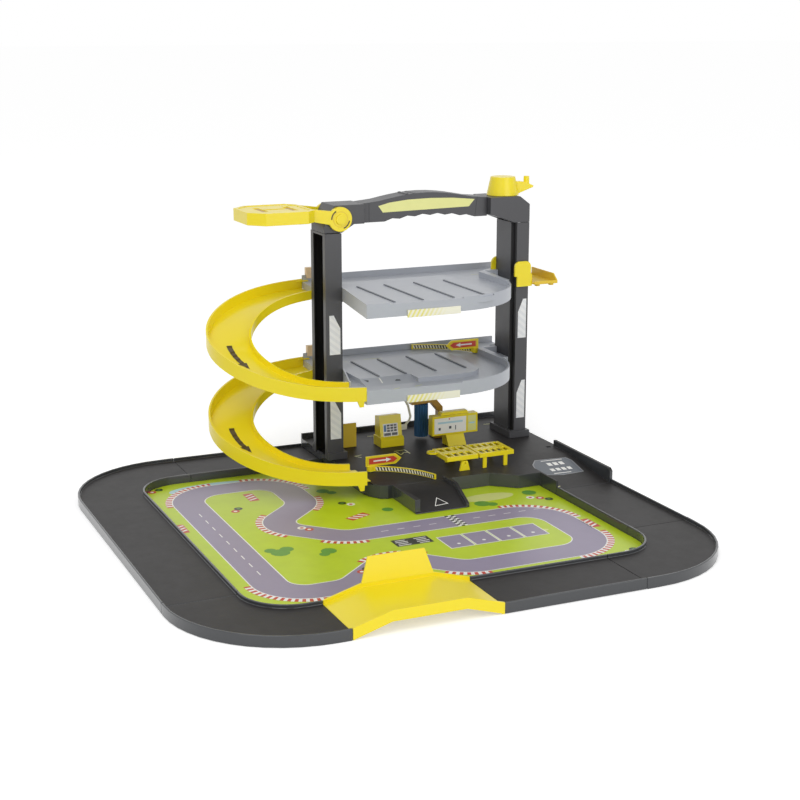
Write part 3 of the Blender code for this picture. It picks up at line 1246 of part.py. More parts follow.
def gates():
    low = BASE_TOP + 0.001
    exit_rail = curved_rail(GATE_RADIUS, 68, -GATE_SWEEP, low, GATE_RAIL_HEIGHT)
    gate("exit_gate", "exit_gate_pin", EXIT_GATE_X, EXIT_GATE_Y, BASE_TOP, exit_rail,
         GATE_SIGN_WIDTH / 2 - 0.006, True)
    level = DECK_LOWER_BOTTOM + DECK_FLOOR
    deck_rail = curved_rail(GATE_RADIUS, 27, GATE_SWEEP, level + 0.001, GATE_RAIL_HEIGHT)
    gate("deck_gate", "deck_gate_pin", DECK_GATE_X, DECK_GATE_Y, level, deck_rail,
         -GATE_SIGN_WIDTH / 2 + 0.004, False)


# Things on the base

def side_panel():
    """The plain yellow panel between the left pillar and the pump."""
    bottom = BASE_TOP + GAP
    solid = box(PANEL_X - 0.0115, PANEL_X + 0.0115, PANEL_Y, PANEL_Y + 0.003, bottom, bottom + 0.032)
    foot = box(PANEL_X - 0.0115, PANEL_X + 0.0115, PANEL_Y, PANEL_Y + 0.009, bottom,
               bottom + 0.003)
    finish_piece("side_panel", join(solid, foot), YELLOW, 0.35)


def fuel_pump():
    """A pump with a stepped foot and a recessed face; its hose and nozzle hang on the side."""
    bottom = BASE_TOP + GAP
    left = PUMP_X - PUMP_WIDTH / 2
    right = PUMP_X + PUMP_WIDTH / 2
    front = PUMP_Y
    back = PUMP_Y + PUMP_DEPTH
    plinth = side_prism([(front - 0.003, bottom), (back, bottom), (back, bottom + 0.013),
                         (front, bottom + 0.013), (front - 0.003, bottom + 0.010)], left, right)
    body = side_prism([(front + 0.001, bottom + 0.012), (back - 0.002, bottom + 0.012),
                       (back - 0.002, bottom + PUMP_HEIGHT - 0.002),
                       (front + 0.006, bottom + PUMP_HEIGHT)], left + 0.001, right - 0.001)
    solid = join(plinth, body)
    finish_piece("fuel_pump", solid, YELLOW, 0.35)
    hose_x = right + GAP
    points = [(hose_x, front + 0.010, bottom + 0.020), (hose_x + 0.005, front + 0.010, bottom + 0.022),
              (hose_x + 0.013, front + 0.010, bottom + 0.030),
              (hose_x + 0.0145, front + 0.010, bottom + 0.035),
              (hose_x + 0.011, front + 0.010, bottom + 0.050),
              (hose_x + 0.006, front + 0.010, bottom + 0.059)]
    hose = tube(points, NOZZLE_RADIUS)
    grip = box(hose_x + 0.0005, hose_x + 0.0085, front + 0.0075, front + 0.0125,
               bottom + 0.0185, bottom + 0.0245)
    finish_piece("pump_hose", join(grip, hose), CREAM, 0.45)


def tube(points, radius):
    """An eight-sided tube through points that lie in one plane of constant Y."""
    stations = []
    for index, point in enumerate(points):
        before = Vector(points[max(0, index - 1)])
        after = Vector(points[min(len(points) - 1, index + 1)])
        along = (after - before).normalized()
        side = Vector((0.0, 1.0, 0.0))
        up = side.cross(along)
        stations.append(lambda spot, centre=Vector(point), side=side, up=up: (
            centre + side * spot[0] + up * spot[1]))
    section = [(radius * math.cos(math.radians(a)), radius * math.sin(math.radians(a)))
               for a in range(0, 360, 45)]
    return swept(section, stations)


def car_wash():
    """An arched arm on a column with a blue roller hanging from it."""
    bottom = BASE_TOP + GAP
    top = bottom + 0.052
    column_x = WASH_X + 0.026
    arm = standing_prism([(WASH_X - 0.016, top), (WASH_X + 0.006, top + 0.006),
                          (WASH_X + 0.018, top + 0.003), (column_x + 0.003, top - 0.010),
                          (column_x + 0.003, top - 0.016), (column_x - 0.003, top - 0.016),
                          (WASH_X + 0.012, top - 0.003), (WASH_X - 0.016, top - 0.004)],
                         WASH_Y - 0.006, WASH_Y + 0.006)
    column = box(column_x - 0.003, column_x + 0.003, WASH_Y - 0.005, WASH_Y + 0.005, bottom,
                 top - 0.012)
    foot = box(column_x - 0.010, column_x + 0.006, WASH_Y - 0.009, WASH_Y + 0.009, bottom,
               bottom + 0.003)
    axle = cone(0.002, 0.002, top - 0.012, top - 0.002, WASH_X, WASH_Y, 12)
    finish_piece("wash_frame", join(arm, column, foot, axle), OCHRE, 0.4)
    roller_top = top - 0.004 - GAP
    roller_bottom = roller_top - WASH_ROLLER_HEIGHT
    builder_points = []
    for step in range(32):
        angle = 2 * math.pi * step / 32
        radius = WASH_ROLLER_RADIUS * (1.0 if step % 2 else 0.86)
        builder_points.append((radius * math.cos(angle), radius * math.sin(angle)))
    roller = prism(builder_points, roller_bottom, roller_top)
    bore = cone(0.002 + GAP, 0.002 + GAP, top - 0.0125, roller_top + 0.001, 0.0, 0.0, 12)
    roller = move(cut(roller, bore), WASH_X, WASH_Y)
    finish_piece("wash_roller", roller, BLUE, 0.7, 0.0, (WASH_X, WASH_Y, roller_bottom))


def control_screen():
    """A wide board on a sloping stand."""
    bottom = BASE_TOP + GAP
    left = SCREEN_X - SCREEN_WIDTH / 2
    right = SCREEN_X + SCREEN_WIDTH / 2
    back = SCREEN_Y + SCREEN_THICKNESS
    board = box(left, right, SCREEN_Y, back, SCREEN_BOTTOM, SCREEN_BOTTOM + SCREEN_HEIGHT)
    hood = standing_prism([(left + 0.013, SCREEN_BOTTOM + SCREEN_HEIGHT - SINK),
                           (right - 0.012, SCREEN_BOTTOM + SCREEN_HEIGHT - SINK),
                           (right - 0.014, SCREEN_BOTTOM + SCREEN_HEIGHT + 0.004),
                           (left + 0.015, SCREEN_BOTTOM + SCREEN_HEIGHT + 0.004)],
                          SCREEN_Y + 0.003, back)
    finish_piece("control_screen", join(board, hood), YELLOW, 0.35)
    stand = side_prism([(SCREEN_Y - 0.008, bottom), (back, bottom), (back, SCREEN_BOTTOM - GAP),
                        (SCREEN_Y + 0.001, SCREEN_BOTTOM - GAP)], SCREEN_X - 0.013,
                       SCREEN_X + 0.013)
    finish_piece("screen_stand", stand, YELLOW, 0.35)


def grating(left, right, slots):
    """A table top with slots across it and a turned-down edge."""
    front = TABLE_FRONT
    back = TABLE_FRONT + TABLE_DEPTH
    top = box(left, right, front, back, TABLE_TOP - TABLE_THICKNESS, TABLE_TOP)
    under = box(left + 0.0015, right - 0.0015, front + 0.0015, back - 0.0015,
                TABLE_TOP - TABLE_THICKNESS - 0.001, TABLE_TOP - 0.0018)
    holes = []
    step = (right - left - 0.006) / slots
    for index in range(slots):
        slot_left = left + 0.004 + index * step
        for row_front, row_back in ((front + 0.004, front + 0.017), (back - 0.017, back - 0.004)):
            holes.append(box(slot_left, slot_left + step - 0.003, row_front, row_back,
                             TABLE_TOP - 0.003, TABLE_TOP + 0.001))
    return cut(top, under, *holes)


def service_tables():
    """A fixed grating on legs and a tilting one with a finger eye."""
    bottom = BASE_TOP + GAP
    legs_top = TABLE_TOP - TABLE_THICKNESS
    fixed = grating(TABLE_SPLIT + GAP, TABLE_RIGHT, 5)
    leg_depth = 0.0025
    for y in (TABLE_FRONT + SHAVE, TABLE_FRONT + TABLE_DEPTH - leg_depth - SHAVE):
        for x in (TABLE_SPLIT + 0.005, TABLE_RIGHT - 0.009 - TABLE_LEG):
            leg = box(x, x + TABLE_LEG, y, y + leg_depth, bottom, TABLE_TOP - 0.002)
            fixed = join(fixed, leg)
    finish_piece("service_table", fixed, YELLOW, 0.35)
    hinge_x = (TABLE_LEFT + TABLE_SPLIT) / 2 + 0.002
    hinge_z = legs_top - 0.0045
    tilting = grating(TABLE_LEFT, TABLE_SPLIT - 0.002, 4)
    eye = prism(arc(TABLE_LEFT - 0.004, TABLE_FRONT + TABLE_DEPTH - 0.010, 0.0075, 0, 330, 11),
                TABLE_TOP - 0.0026, TABLE_TOP - 0.0002)
    eye_hole = cone(0.0042, 0.0042, TABLE_TOP - 0.004, TABLE_TOP + 0.001, TABLE_LEFT - 0.005,
                    TABLE_FRONT + TABLE_DEPTH - 0.010, 12)
    tilting = cut(join(tilting, eye), eye_hole)
    for y in (TABLE_FRONT + 0.004, TABLE_FRONT + TABLE_DEPTH - 0.008):
        lug = box(hinge_x - 0.003, hinge_x + 0.003, y, y + 0.004, hinge_z - 0.003,
                  TABLE_TOP - 0.001)
        tilting = join(tilting, lug)
    axle = rod_along_y(0.0012, TABLE_FRONT + 0.001, TABLE_FRONT + TABLE_DEPTH - 0.001, hinge_x,
                       hinge_z, 12)
    tilting = join(tilting, axle)
    finish_piece("service_rocker", tilting, YELLOW, 0.35, 0.0, (hinge_x, TABLE_FRONT, hinge_z))
    for name, y in (("rocker_leg_front", TABLE_FRONT), ("rocker_leg_rear",
                                                        TABLE_FRONT + TABLE_DEPTH - 0.003)):
        leg = standing_prism([(hinge_x - 0.007, bottom), (hinge_x + 0.007, bottom),
                              (hinge_x + 0.004, hinge_z + 0.0028), (hinge_x - 0.004,
                                                                    hinge_z + 0.0028)],
                             y, y + 0.003)
        hole = rod_along_y(0.0012 + GAP, y - 0.001, y + 0.004, hinge_x, hinge_z, 12)
        finish_piece(name, cut(leg, hole), YELLOW, 0.35)


def main():
    clear_scene()
    ring_road()
    play_mat()
    bridge()
    finish_piece("garage_base", drill_base(garage_base()), CHARCOAL, 0.4)
    exit_ramp()
    for name, x, side in (("left", PILLAR_LEFT_X, -1), ("right", PILLAR_RIGHT_X, 1)):
        pillar(name + "_pillar", x, side)
        pillar_foot(name + "_pillar_foot", x, side)
    left_head()
    right_head()
    carry_handle()
    for label, bottom in (("lower", DECK_LOWER_BOTTOM), ("upper", DECK_LOWER_BOTTOM + STOREY)):
        deck(label + "_deck", bottom, label == "lower")
        deck_shelf(label + "_shelf_left", PILLAR_LEFT_X, -1, bottom)
        deck_shelf(label + "_shelf_right", PILLAR_RIGHT_X, 1, bottom)
        front_board(label + "_board", bottom)
        ramp(label + "_ramp", bottom + DECK_FLOOR)
        ramp_clip(label + "_clip", bottom)
    lift_drive()
    lift_tray(lift_carriage())
    helipad()
    gates()
    side_panel()
    fuel_pump()
    car_wash()
    control_screen()
    service_tables()


main()
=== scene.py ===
"""Toy garage: moulded shells, printed mat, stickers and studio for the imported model."""
import json
import math
from collections import namedtuple

import bmesh
import bpy
from bpy.props import FloatProperty, FloatVectorProperty, PointerProperty
from mathutils import Euler, Matrix, Vector
from mathutils.bvhtree import BVHTree


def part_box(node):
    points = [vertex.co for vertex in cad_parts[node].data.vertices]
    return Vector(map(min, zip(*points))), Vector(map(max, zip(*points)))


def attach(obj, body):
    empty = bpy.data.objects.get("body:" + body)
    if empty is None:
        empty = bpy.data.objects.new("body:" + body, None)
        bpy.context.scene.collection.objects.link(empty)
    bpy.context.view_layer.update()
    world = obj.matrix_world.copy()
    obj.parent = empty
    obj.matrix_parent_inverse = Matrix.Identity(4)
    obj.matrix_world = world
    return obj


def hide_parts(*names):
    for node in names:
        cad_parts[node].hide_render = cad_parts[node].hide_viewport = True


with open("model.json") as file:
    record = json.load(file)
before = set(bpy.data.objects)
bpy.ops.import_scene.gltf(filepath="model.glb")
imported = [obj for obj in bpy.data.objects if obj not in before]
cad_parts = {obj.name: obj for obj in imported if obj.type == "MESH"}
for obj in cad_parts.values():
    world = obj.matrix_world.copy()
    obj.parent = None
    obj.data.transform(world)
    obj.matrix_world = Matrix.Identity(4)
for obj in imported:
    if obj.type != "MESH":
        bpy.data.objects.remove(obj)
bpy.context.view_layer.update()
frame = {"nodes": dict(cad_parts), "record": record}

bl_info = {
    "name": "Toy garage",
    "version": (1, 0, 0),
    "blender": (4, 5, 0),
    "location": "View3D > Sidebar > Toy garage",
    "description": "Builds the finished pieces of a toy garage on its packed frame",
    "category": "Object",
}

MM = 0.001

# Limits for merging and rounding a node's loose triangles
WELD = 0.004 * MM
FLAT_ANGLE = math.radians(0.4)
MOST_CORNERS = 6
FILLET_ANGLE = math.radians(30)

# A face whose normal rises less than this is a wall
STEEP = 0.6

# Fillets of the small parts, in mm
GEAR_FILLET = 0.15
PIN_FILLET = 0.2
GATE_FILLET = 0.25
TRIM_FILLET = 0.3
FITTING_FILLET = 0.35

# Thickness of a vinyl sticker
STICKER = 0.1 * MM

# Radius of the barriers' rails
RAIL_RADIUS = 100 * MM

# Inks of the play mat, in the order of its material slots
MAT_INKS = ("lane", "white", "red", "black", "bush", "water", "sand")
LANE, WHITE, RED, BLACK, BUSH, WATER, SAND = range(len(MAT_INKS))


# Colours and small helpers

def linear(text):
    """An sRGB hex colour as linear red, green and blue."""
    parts = [int(text[place:place + 2], 16) / 255 for place in (0, 2, 4)]
    return tuple(part / 12.92 if part <= 0.04045 else ((part + 0.055) / 1.055) ** 2.4
                 for part in parts)


def shade(colour, factor=1.0):
    """A linear colour made lighter or darker, with alpha."""
    return tuple(min(1.0, part * factor) for part in colour[:3]) + (1.0,)


def add_node(tree, kind, sockets=None, **settings):
    """Adds a node, sets its properties, and sets or links its input sockets."""
    made = tree.nodes.new(kind)
    for name, value in settings.items():
        setattr(made, name, value)
    for name, value in (sockets or {}).items():
        if isinstance(value, bpy.types.NodeSocket):
            tree.links.new(value, made.inputs[name])
        else:
            made.inputs[name].default_value = value
    return made


def new_material(name):
    """An empty node material with its Principled shader and object coordinates."""
    material = bpy.data.materials.new(name)
    material.use_nodes = True
    tree = material.node_tree
    shader = tree.nodes["Principled BSDF"]
    place = add_node(tree, "ShaderNodeTexCoord").outputs["Object"]
    return material, tree, shader, place


# Materials

def moulded_plastic(name, colour, roughness, grain_mm, depth_mm, streak=0.06, coat=0.0, glow=0.0,
                    rub=0.07, gleam=0.5):
    """Injection-moulded plastic: flow marks in the colour, tool grain in the bump."""
    material, tree, shader, place = new_material(name)
    # Flow marks run over about 60 mm, and rubbed places are about 18 mm across.
    flow_mm = 60
    rubbed_mm = 18
    flow = add_node(tree, "ShaderNodeTexNoise", {"Vector": place, "Scale": 1 / (flow_mm * MM),
                                                 "Detail": 3.0, "Distortion": 0.6})
    tint = add_node(tree, "ShaderNodeMix", {0: flow.outputs["Fac"],
                                            6: shade(colour, 1 - streak),
                                            7: shade(colour, 1 + streak)}, data_type="RGBA")
    # Real tool grain is about 0.1 mm wide. It is drawn coarser, so that it shows.
    grain = add_node(tree, "ShaderNodeTexNoise", {"Vector": place, "Scale": 1 / (grain_mm * MM),
                                                  "Detail": 2.0, "Roughness": 0.6})
    bump = add_node(tree, "ShaderNodeBump", {"Height": grain.outputs["Fac"], "Strength": 0.35,
                                             "Distance": depth_mm * MM})
    handled = add_node(tree, "ShaderNodeTexNoise", {"Vector": place,
                                                    "Scale": 1 / (rubbed_mm * MM),
                                                    "Detail": 4.0, "Roughness": 0.7})
    sheen = add_node(tree, "ShaderNodeMapRange", {"Value": handled.outputs["Fac"],
                                                  "To Min": roughness - rub,
                                                  "To Max": roughness + rub})
    tree.links.new(tint.outputs[2], shader.inputs["Base Color"])
    tree.links.new(sheen.outputs["Result"], shader.inputs["Roughness"])
    tree.links.new(bump.outputs["Normal"], shader.inputs["Normal"])
    shader.inputs["IOR"].default_value = 1.5
    shader.inputs["Specular IOR Level"].default_value = gleam
    if coat:
        shader.inputs["Coat Weight"].default_value = coat
        shader.inputs["Coat Roughness"].default_value = 0.12
    if glow:
        shader.inputs["Subsurface Weight"].default_value = glow
        shader.inputs["Subsurface Radius"].default_value = (1.0, 0.75, 0.2)
        shader.inputs["Subsurface Scale"].default_value = 1.5 * MM
    return material


def printed_ink(name, colour, cloud_mm, cloud_depth, roughness=0.34):
    """Printed and laminated sheet: even ink with a faint cloud and a soft gloss."""
    material, tree, shader, place = new_material(name)
    cloud = add_node(tree, "ShaderNodeTexNoise", {"Vector": place, "Scale": 1 / (cloud_mm * MM),
                                                  "Detail": 4.0, "Roughness": 0.62})
    tint = add_node(tree, "ShaderNodeMix", {0: cloud.outputs["Fac"],
                                            6: shade(colour, 1 - cloud_depth),
                                            7: shade(colour, 1 + cloud_depth)},
                    data_type="RGBA")
    tree.links.new(tint.outputs[2], shader.inputs["Base Color"])
    shader.inputs["Roughness"].default_value = roughness
    shader.inputs["IOR"].default_value = 1.5
    return material


def striped_vinyl(name, first, second, direction, period_mm, fade=None):
    """Printed vinyl with slanted bands; fade gives where along X the bands run out."""
    material, tree, shader, place = new_material(name)
    along = add_node(tree, "ShaderNodeVectorMath", {0: place, 1: direction},
                     operation="DOT_PRODUCT")
    turns = add_node(tree, "ShaderNodeMath", {0: along.outputs["Value"],
                                              1: 1 / (period_mm * MM)}, operation="MULTIPLY")
    part = add_node(tree, "ShaderNodeMath", {0: turns.outputs[0]}, operation="FRACT")
    band = add_node(tree, "ShaderNodeMath", {0: part.outputs[0], 1: 0.5}, operation="LESS_THAN")
    amount = band.outputs[0]
    if fade:
        x = add_node(tree, "ShaderNodeSeparateXYZ", {0: place}).outputs["X"]
        ramp = add_node(tree, "ShaderNodeMapRange", {"Value": x, "From Min": fade[0],
                                                     "From Max": fade[1], "To Min": 1.0,
                                                     "To Max": 0.0})
        amount = add_node(tree, "ShaderNodeMath", {0: amount, 1: ramp.outputs["Result"]},
                          operation="MULTIPLY").outputs[0]
    tint = add_node(tree, "ShaderNodeMix", {0: amount, 6: shade(first), 7: shade(second)},
                    data_type="RGBA")
    tree.links.new(tint.outputs[2], shader.inputs["Base Color"])
    shader.inputs["Roughness"].default_value = 0.3
    return material


def turned_steel(name, colour):
    """Turned steel pin: a fine tool grain breaks up the gloss."""
    material, tree, shader, place = new_material(name)
    # Real tool marks are about 0.1 mm apart. They are drawn coarser, so that they show.
    mark_mm = 0.8
    marks = add_node(tree, "ShaderNodeTexNoise", {"Vector": place, "Scale": 1 / (mark_mm * MM)})
    bump = add_node(tree, "ShaderNodeBump", {"Height": marks.outputs["Fac"], "Strength": 0.2,
                                             "Distance": 0.02 * MM})
    tree.links.new(bump.outputs["Normal"], shader.inputs["Normal"])
    shader.inputs["Base Color"].default_value = shade(colour)
    shader.inputs["Metallic"].default_value = 1.0
    shader.inputs["Roughness"].default_value = 0.28
    return material


MATERIALS = {}


def make_plastics(colours):
    """The moulded finishes, named for what they are, and the steel of the pins."""
    MATERIALS.update(
        # ABS moulded against a spark-eroded tool: a dull sheen and a pebbled feel.
        charcoal=moulded_plastic("charcoal ABS, spark-eroded", colours.charcoal,
                                 roughness=0.40, grain_mm=0.55, depth_mm=0.05),
        # The road sections come from a coarser tool and are darker and duller.
        road=moulded_plastic("black-brown ABS, coarse spark-eroded", colours.road,
                             roughness=0.5, grain_mm=0.7, depth_mm=0.06, rub=0.06, gleam=0.3),
        # Rims and side walls come from a polished part of the tool and catch the light; their
        # lighter grey than the road's tops is a painted highlight.
        rim=moulded_plastic("charcoal ABS, polished, painted sheen", colours.rim, roughness=0.2, grain_mm=0.8,
                            depth_mm=0.02, streak=0.04, coat=0.3, rub=0.05),
        # The same resin, painted near-black: painted shade in the dark of the pillar shafts.
        shaft=moulded_plastic("black ABS, ribbed shaft, painted shade", colours.shaft, roughness=0.5,
                              grain_mm=0.55, depth_mm=0.05),
        # ABS coloured grey: satin, with faint flow marks.
        grey=moulded_plastic("grey ABS, satin", colours.grey, roughness=0.36, grain_mm=0.8,
                             depth_mm=0.03, streak=0.05),
        # Polypropylene against a polished tool: bright, a little light passes into the edges.
        yellow=moulded_plastic("yellow polypropylene, polished", colours.yellow,
                               roughness=0.29, grain_mm=1.6, depth_mm=0.008, streak=0.015,
                               coat=0.08, glow=0.12, rub=0.03),
        # Unpolished tool faces of the same resin look duller; their deeper colour is painted shade.
        deep_yellow=moulded_plastic("yellow polypropylene, matt, painted shade", colours.deep_yellow,
                                    roughness=0.42, grain_mm=0.9, depth_mm=0.02, streak=0.03,
                                    glow=0.12, rub=0.04),
        # Polypropylene with a brown tint: an even satin sheen.
        ochre=moulded_plastic("ochre polypropylene, satin", colours.ochre, roughness=0.38,
                              grain_mm=0.9, depth_mm=0.02, streak=0.04),
        # The joint of two mould halves or of two glued parts, seen as a thin dark line.
        seam=moulded_plastic("black ABS, joint", colours.shaft, roughness=0.6, grain_mm=0.55,
                             depth_mm=0.02),
        # The ribs between the bays are painted darker than the deck: painted shade on their shaded
        # sides.
        groove=moulded_plastic("grey ABS, worn groove", colours.groove, roughness=0.5,
                               grain_mm=0.8, depth_mm=0.02),
        # Cut foam: its opened cells break up the light.
        foam=moulded_plastic("blue EVA foam, cut", colours.foam, roughness=0.7, grain_mm=0.35,
                             depth_mm=0.12, streak=0.18),
        # Uncoloured ABS: a warm off-white with a satin sheen.
        cream=moulded_plastic("cream ABS, satin", colours.cream, roughness=0.4, grain_mm=0.9,
                              depth_mm=0.03),
        # Uncoloured polypropylene: waxy, a little light passes through.
        clip=moulded_plastic("cream polypropylene, satin", colours.clip, roughness=0.38,
                             grain_mm=0.9, depth_mm=0.02, streak=0.03, glow=0.1),
        steel=turned_steel("mild steel, turned", linear("9fa1a6")))


def make_prints(colours):
    """The inks and vinyls, each with the width and strength of its cloud."""
    # Offset inks under a laminate: nearly even, with a soft gloss.
    for key, name, colour, cloud_mm, cloud_depth in (
            ("grass", "laminated board, lime ink", colours.grass, 26.0, 0.10),
            ("lane", "laminated board, lilac ink", colours.lane, 14.0, 0.05),
            ("white", "white ink", linear("f4f3ee"), 9.0, 0.02),
            ("red", "red ink", linear("c8402c"), 5.0, 0.06),
            ("black", "black ink", linear("26261f"), 5.0, 0.10),
            ("arrow", "umber ink", linear("4a3a12"), 5.0, 0.08),
            ("bush", "green ink", linear("5d9a35"), 4.0, 0.22),
            ("water", "pale blue ink", linear("b9dbe4"), 8.0, 0.05),
            ("sand", "sand ink", linear("d9e089"), 8.0, 0.05),
            ("slate", "slate ink", linear("4d5256"), 6.0, 0.08),
            ("foam_ink", "blue ink", linear("3f6f9c"), 5.0, 0.05),
            ("plate", "blue-grey foil", linear("565d66"), 7.0, 0.08),
            ("plate_edge", "silver-grey ink", linear("8b8d90"), 4.0, 0.2),
            ("sun", "yellow ink", linear("e3c926"), 6.0, 0.05)):
        MATERIALS[key] = printed_ink(name, colour, cloud_mm, cloud_depth)
    # Smooth vinyl and gloss sheet mirror the lamps more sharply than the board does.
    MATERIALS["label"] = printed_ink("pale yellow vinyl", linear("e6e695"), 12.0, 0.05, 0.28)
    MATERIALS["display"] = printed_ink("cream gloss sheet", linear("fbfaf2"), 14.0, 0.03, 0.2)
    MATERIALS["ticks"] = printed_ink("barrier vinyl, cream", linear("f4efcf"), 6.0, 0.03, 0.3)
    # Vinyl printed with slanted bands: faint grey on white, and pale yellow on cream.
    MATERIALS["hatch"] = striped_vinyl("white vinyl, grey hatch", linear("f3f4f4"),
                                       linear("e9ebed"), (0.62, 0.0, 0.78), 7.0)
    MATERIALS["tape"] = striped_vinyl("cream vinyl, yellow bands", linear("f4f2df"),
                                      linear("ece48a"), (0.86, 0.0, -0.5), 5.0, (0.085, 0.118))


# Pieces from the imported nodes

def body_of_node(node):
    """The body that a node moves with."""
    bodies = frame["record"]["behaviour"]["bodies"]
    return next(body for body, nodes in bodies.items() if node in nodes)


def settle(name, mesh_builder, body, materials):
    """Turns a bmesh into a piece that rides on a body."""
    mesh = bpy.data.meshes.new(name)
    mesh_builder.to_mesh(mesh)
    mesh_builder.free()
    piece = bpy.data.objects.new(name, mesh)
    bpy.context.scene.collection.objects.link(piece)
    for key in materials:
        mesh.materials.append(MATERIALS[key])
    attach(piece, body)
    return piece


def round_edges(piece, width, segments):
    """Moulded edges: a small fillet on each corner and shading that keeps flats flat."""
    for face in piece.data.polygons:
        face.use_smooth = True
    bevel = piece.modifiers.new("fillet", "BEVEL")
    bevel.width = width
    bevel.segments = segments
    bevel.limit_method = "ANGLE"
    bevel.angle_limit = FILLET_ANGLE
    bevel.miter_outer = "MITER_ARC"
    normals = piece.modifiers.new("flats", "WEIGHTED_NORMAL")
    normals.weight = 80
    normals.keep_sharp = True


def merged_node(node):
    """A node's mesh, merged into whole faces, with the largest cut up again."""
    shell = bmesh.new()
    shell.from_mesh(frame["nodes"][node].data)
    bmesh.ops.remove_doubles(shell, verts=shell.verts, dist=WELD)
    bmesh.ops.dissolve_limit(shell, angle_limit=FLAT_ANGLE, verts=shell.verts,
                             edges=shell.edges)
    large = [face for face in shell.faces if len(face.verts) > MOST_CORNERS]
    bmesh.ops.triangulate(shell, faces=large, quad_method="BEAUTY", ngon_method="BEAUTY")
    return shell


def finished_shell(node, key, width_mm, segments=2):
    """A node's shape with rounded edges and its finish; it stands for the node."""
    piece = settle(node + "_shell", merged_node(node), body_of_node(node),
                   [key])
    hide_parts(node)
    round_edges(piece, width_mm * MM, segments)
    return piece


def finish_all(nodes, key, width_mm, segments=2):
    """Finishes several nodes alike."""
    for node in nodes:
        finished_shell(node, key, width_mm, segments)


def repaint(piece, key, chosen):
    """Gives the faces that a test picks another finish."""
    piece.data.materials.append(MATERIALS[key])
    index = len(piece.data.materials) - 1
    for face in piece.data.polygons:
        if chosen(face):
            face.material_index = index


def paint_inside(piece, key, low, high):
    """Gives the faces whose middle lies in a box, in metres, another finish."""
    repaint(piece, key, lambda face: all(low[axis] < face.center[axis] < high[axis]
                                         for axis in range(3)))


def paint_walls(piece, key, top):
    """Gives the upright faces, and all that lie above a height, another finish."""
    repaint(piece, key, lambda face: abs(face.normal.z) < STEEP or face.center.z > top)


# Printed roads

Bend = namedtuple("Bend", "entry heading centre turn radius")


def corner_bends(corners):
    """Entry point, heading, centre and turn of each rounded corner of a closed route, in mm."""
    bends = []
    for place, (x, y, radius) in enumerate(corners):
        here = Vector((x, y))
        before = Vector(corners[place - 1][:2])
        after = Vector(corners[(place + 1) % len(corners)][:2])
        heading = (here - before).normalized()
        leaving = (after - here).normalized()
        turn = math.atan2(heading.x * leaving.y - heading.y * leaving.x, heading.dot(leaving))
        entry = here - heading * radius * math.tan(abs(turn) / 2)
        side = 1 if turn > 0 else -1
        centre = entry + side * radius * Vector((-heading.y, heading.x))
        bends.append(Bend(entry, heading, centre, turn, radius))
    return bends


def of_kind(items, kind):
    """The items of a bmesh result that are of one kind."""
    return [item for item in items if isinstance(item, kind)]


def cross_edge(ink, bend, offset, width, level):
    """An edge across a route where a bend begins, offset to the left of its heading."""
    left = Vector((-bend.heading.y, bend.heading.x))
    ends = [bend.entry + left * (offset + side * width / 2) for side in (-1, 1)]
    verts = [ink.verts.new((end.x * MM, end.y * MM, level)) for end in ends]
    return verts + [ink.edges.new(verts)]


def spin_bend(ink, start, bend, steps, level):
    """Sweeps an edge round a bend and returns its last edge."""
    axis = (bend.centre.x * MM, bend.centre.y * MM, level)
    swept = bmesh.ops.spin(ink, geom=start, cent=axis, axis=(0, 0, 1), angle=bend.turn,
                           steps=steps, use_duplicate=False)
    return swept["geom_last"]


def lay_route(ink, bends, offset, width, level, index):
    """A closed band along a route: spun round each bend and pushed along each straight."""
    older = set(ink.faces)
    edge = cross_edge(ink, bends[0], offset, width, level)
    for place, bend in enumerate(bends):
        edge = spin_bend(ink, edge, bend, max(4, int(abs(bend.turn) * 14)), level)
        following = bends[(place + 1) % len(bends)]
        turned = Matrix.Rotation(bend.turn, 2)
        away = turned @ bend.heading
        leave = bend.centre + turned @ (bend.entry - bend.centre)
        gap = (following.entry - leave).length
        pushed = bmesh.ops.extrude_edge_only(ink, edges=of_kind(edge, bmesh.types.BMEdge))
        moved = of_kind(pushed["geom"], bmesh.types.BMVert)
        bmesh.ops.translate(ink, verts=moved, vec=(away.x * gap * MM, away.y * gap * MM, 0))
        edge = moved + of_kind(pushed["geom"], bmesh.types.BMEdge)
    for face in ink.faces:
        if face not in older:
            face.material_index = index


def lay_kerb(ink, bend, offset, width, level, pair, tooth_mm):
    """A kerb of two inks in turn along one bend."""
    older = set(ink.faces)
    steps = max(6, int(abs(bend.turn) * bend.radius / tooth_mm))
    spin_bend(ink, cross_edge(ink, bend, offset, width, level), bend, steps, level)
    for count, face in enumerate(face for face in ink.faces if face not in older):
        face.material_index = pair[count % 2]


# Flat prints

def paint_around(verts, index):
    """Gives every face at these corners a material slot."""
    for face in {face for vert in verts for face in vert.link_faces}:
        face.material_index = index


def patch(ink, x, y, length, width, angle, level, index):
    """A flat rectangle centred at x, y in mm."""
    verts = bmesh.ops.create_grid(ink, x_segments=1, y_segments=1, size=0.5)["verts"]
    bmesh.ops.scale(ink, verts=verts, vec=(length * MM, width * MM, 1))
    bmesh.ops.rotate(ink, verts=verts, matrix=Matrix.Rotation(math.radians(angle), 3, "Z"))
    bmesh.ops.translate(ink, verts=verts, vec=(x * MM, y * MM, level))
    paint_around(verts, index)


def disc(ink, x, y, radius, level, index, sides, squash=1.0):
    """A flat disc centred at x, y in mm."""
    verts = bmesh.ops.create_circle(ink, cap_ends=True, segments=sides, radius=radius * MM)["verts"]
    bmesh.ops.scale(ink, verts=verts, vec=(1, squash, 1))
    bmesh.ops.translate(ink, verts=verts, vec=(x * MM, y * MM, level))
    paint_around(verts, index)


def outline_face(ink, points, index=0):
    """One face through points in metres."""
    face = ink.faces.new([ink.verts.new(point) for point in points])
    face.material_index = index
    face.normal_update()
    return face


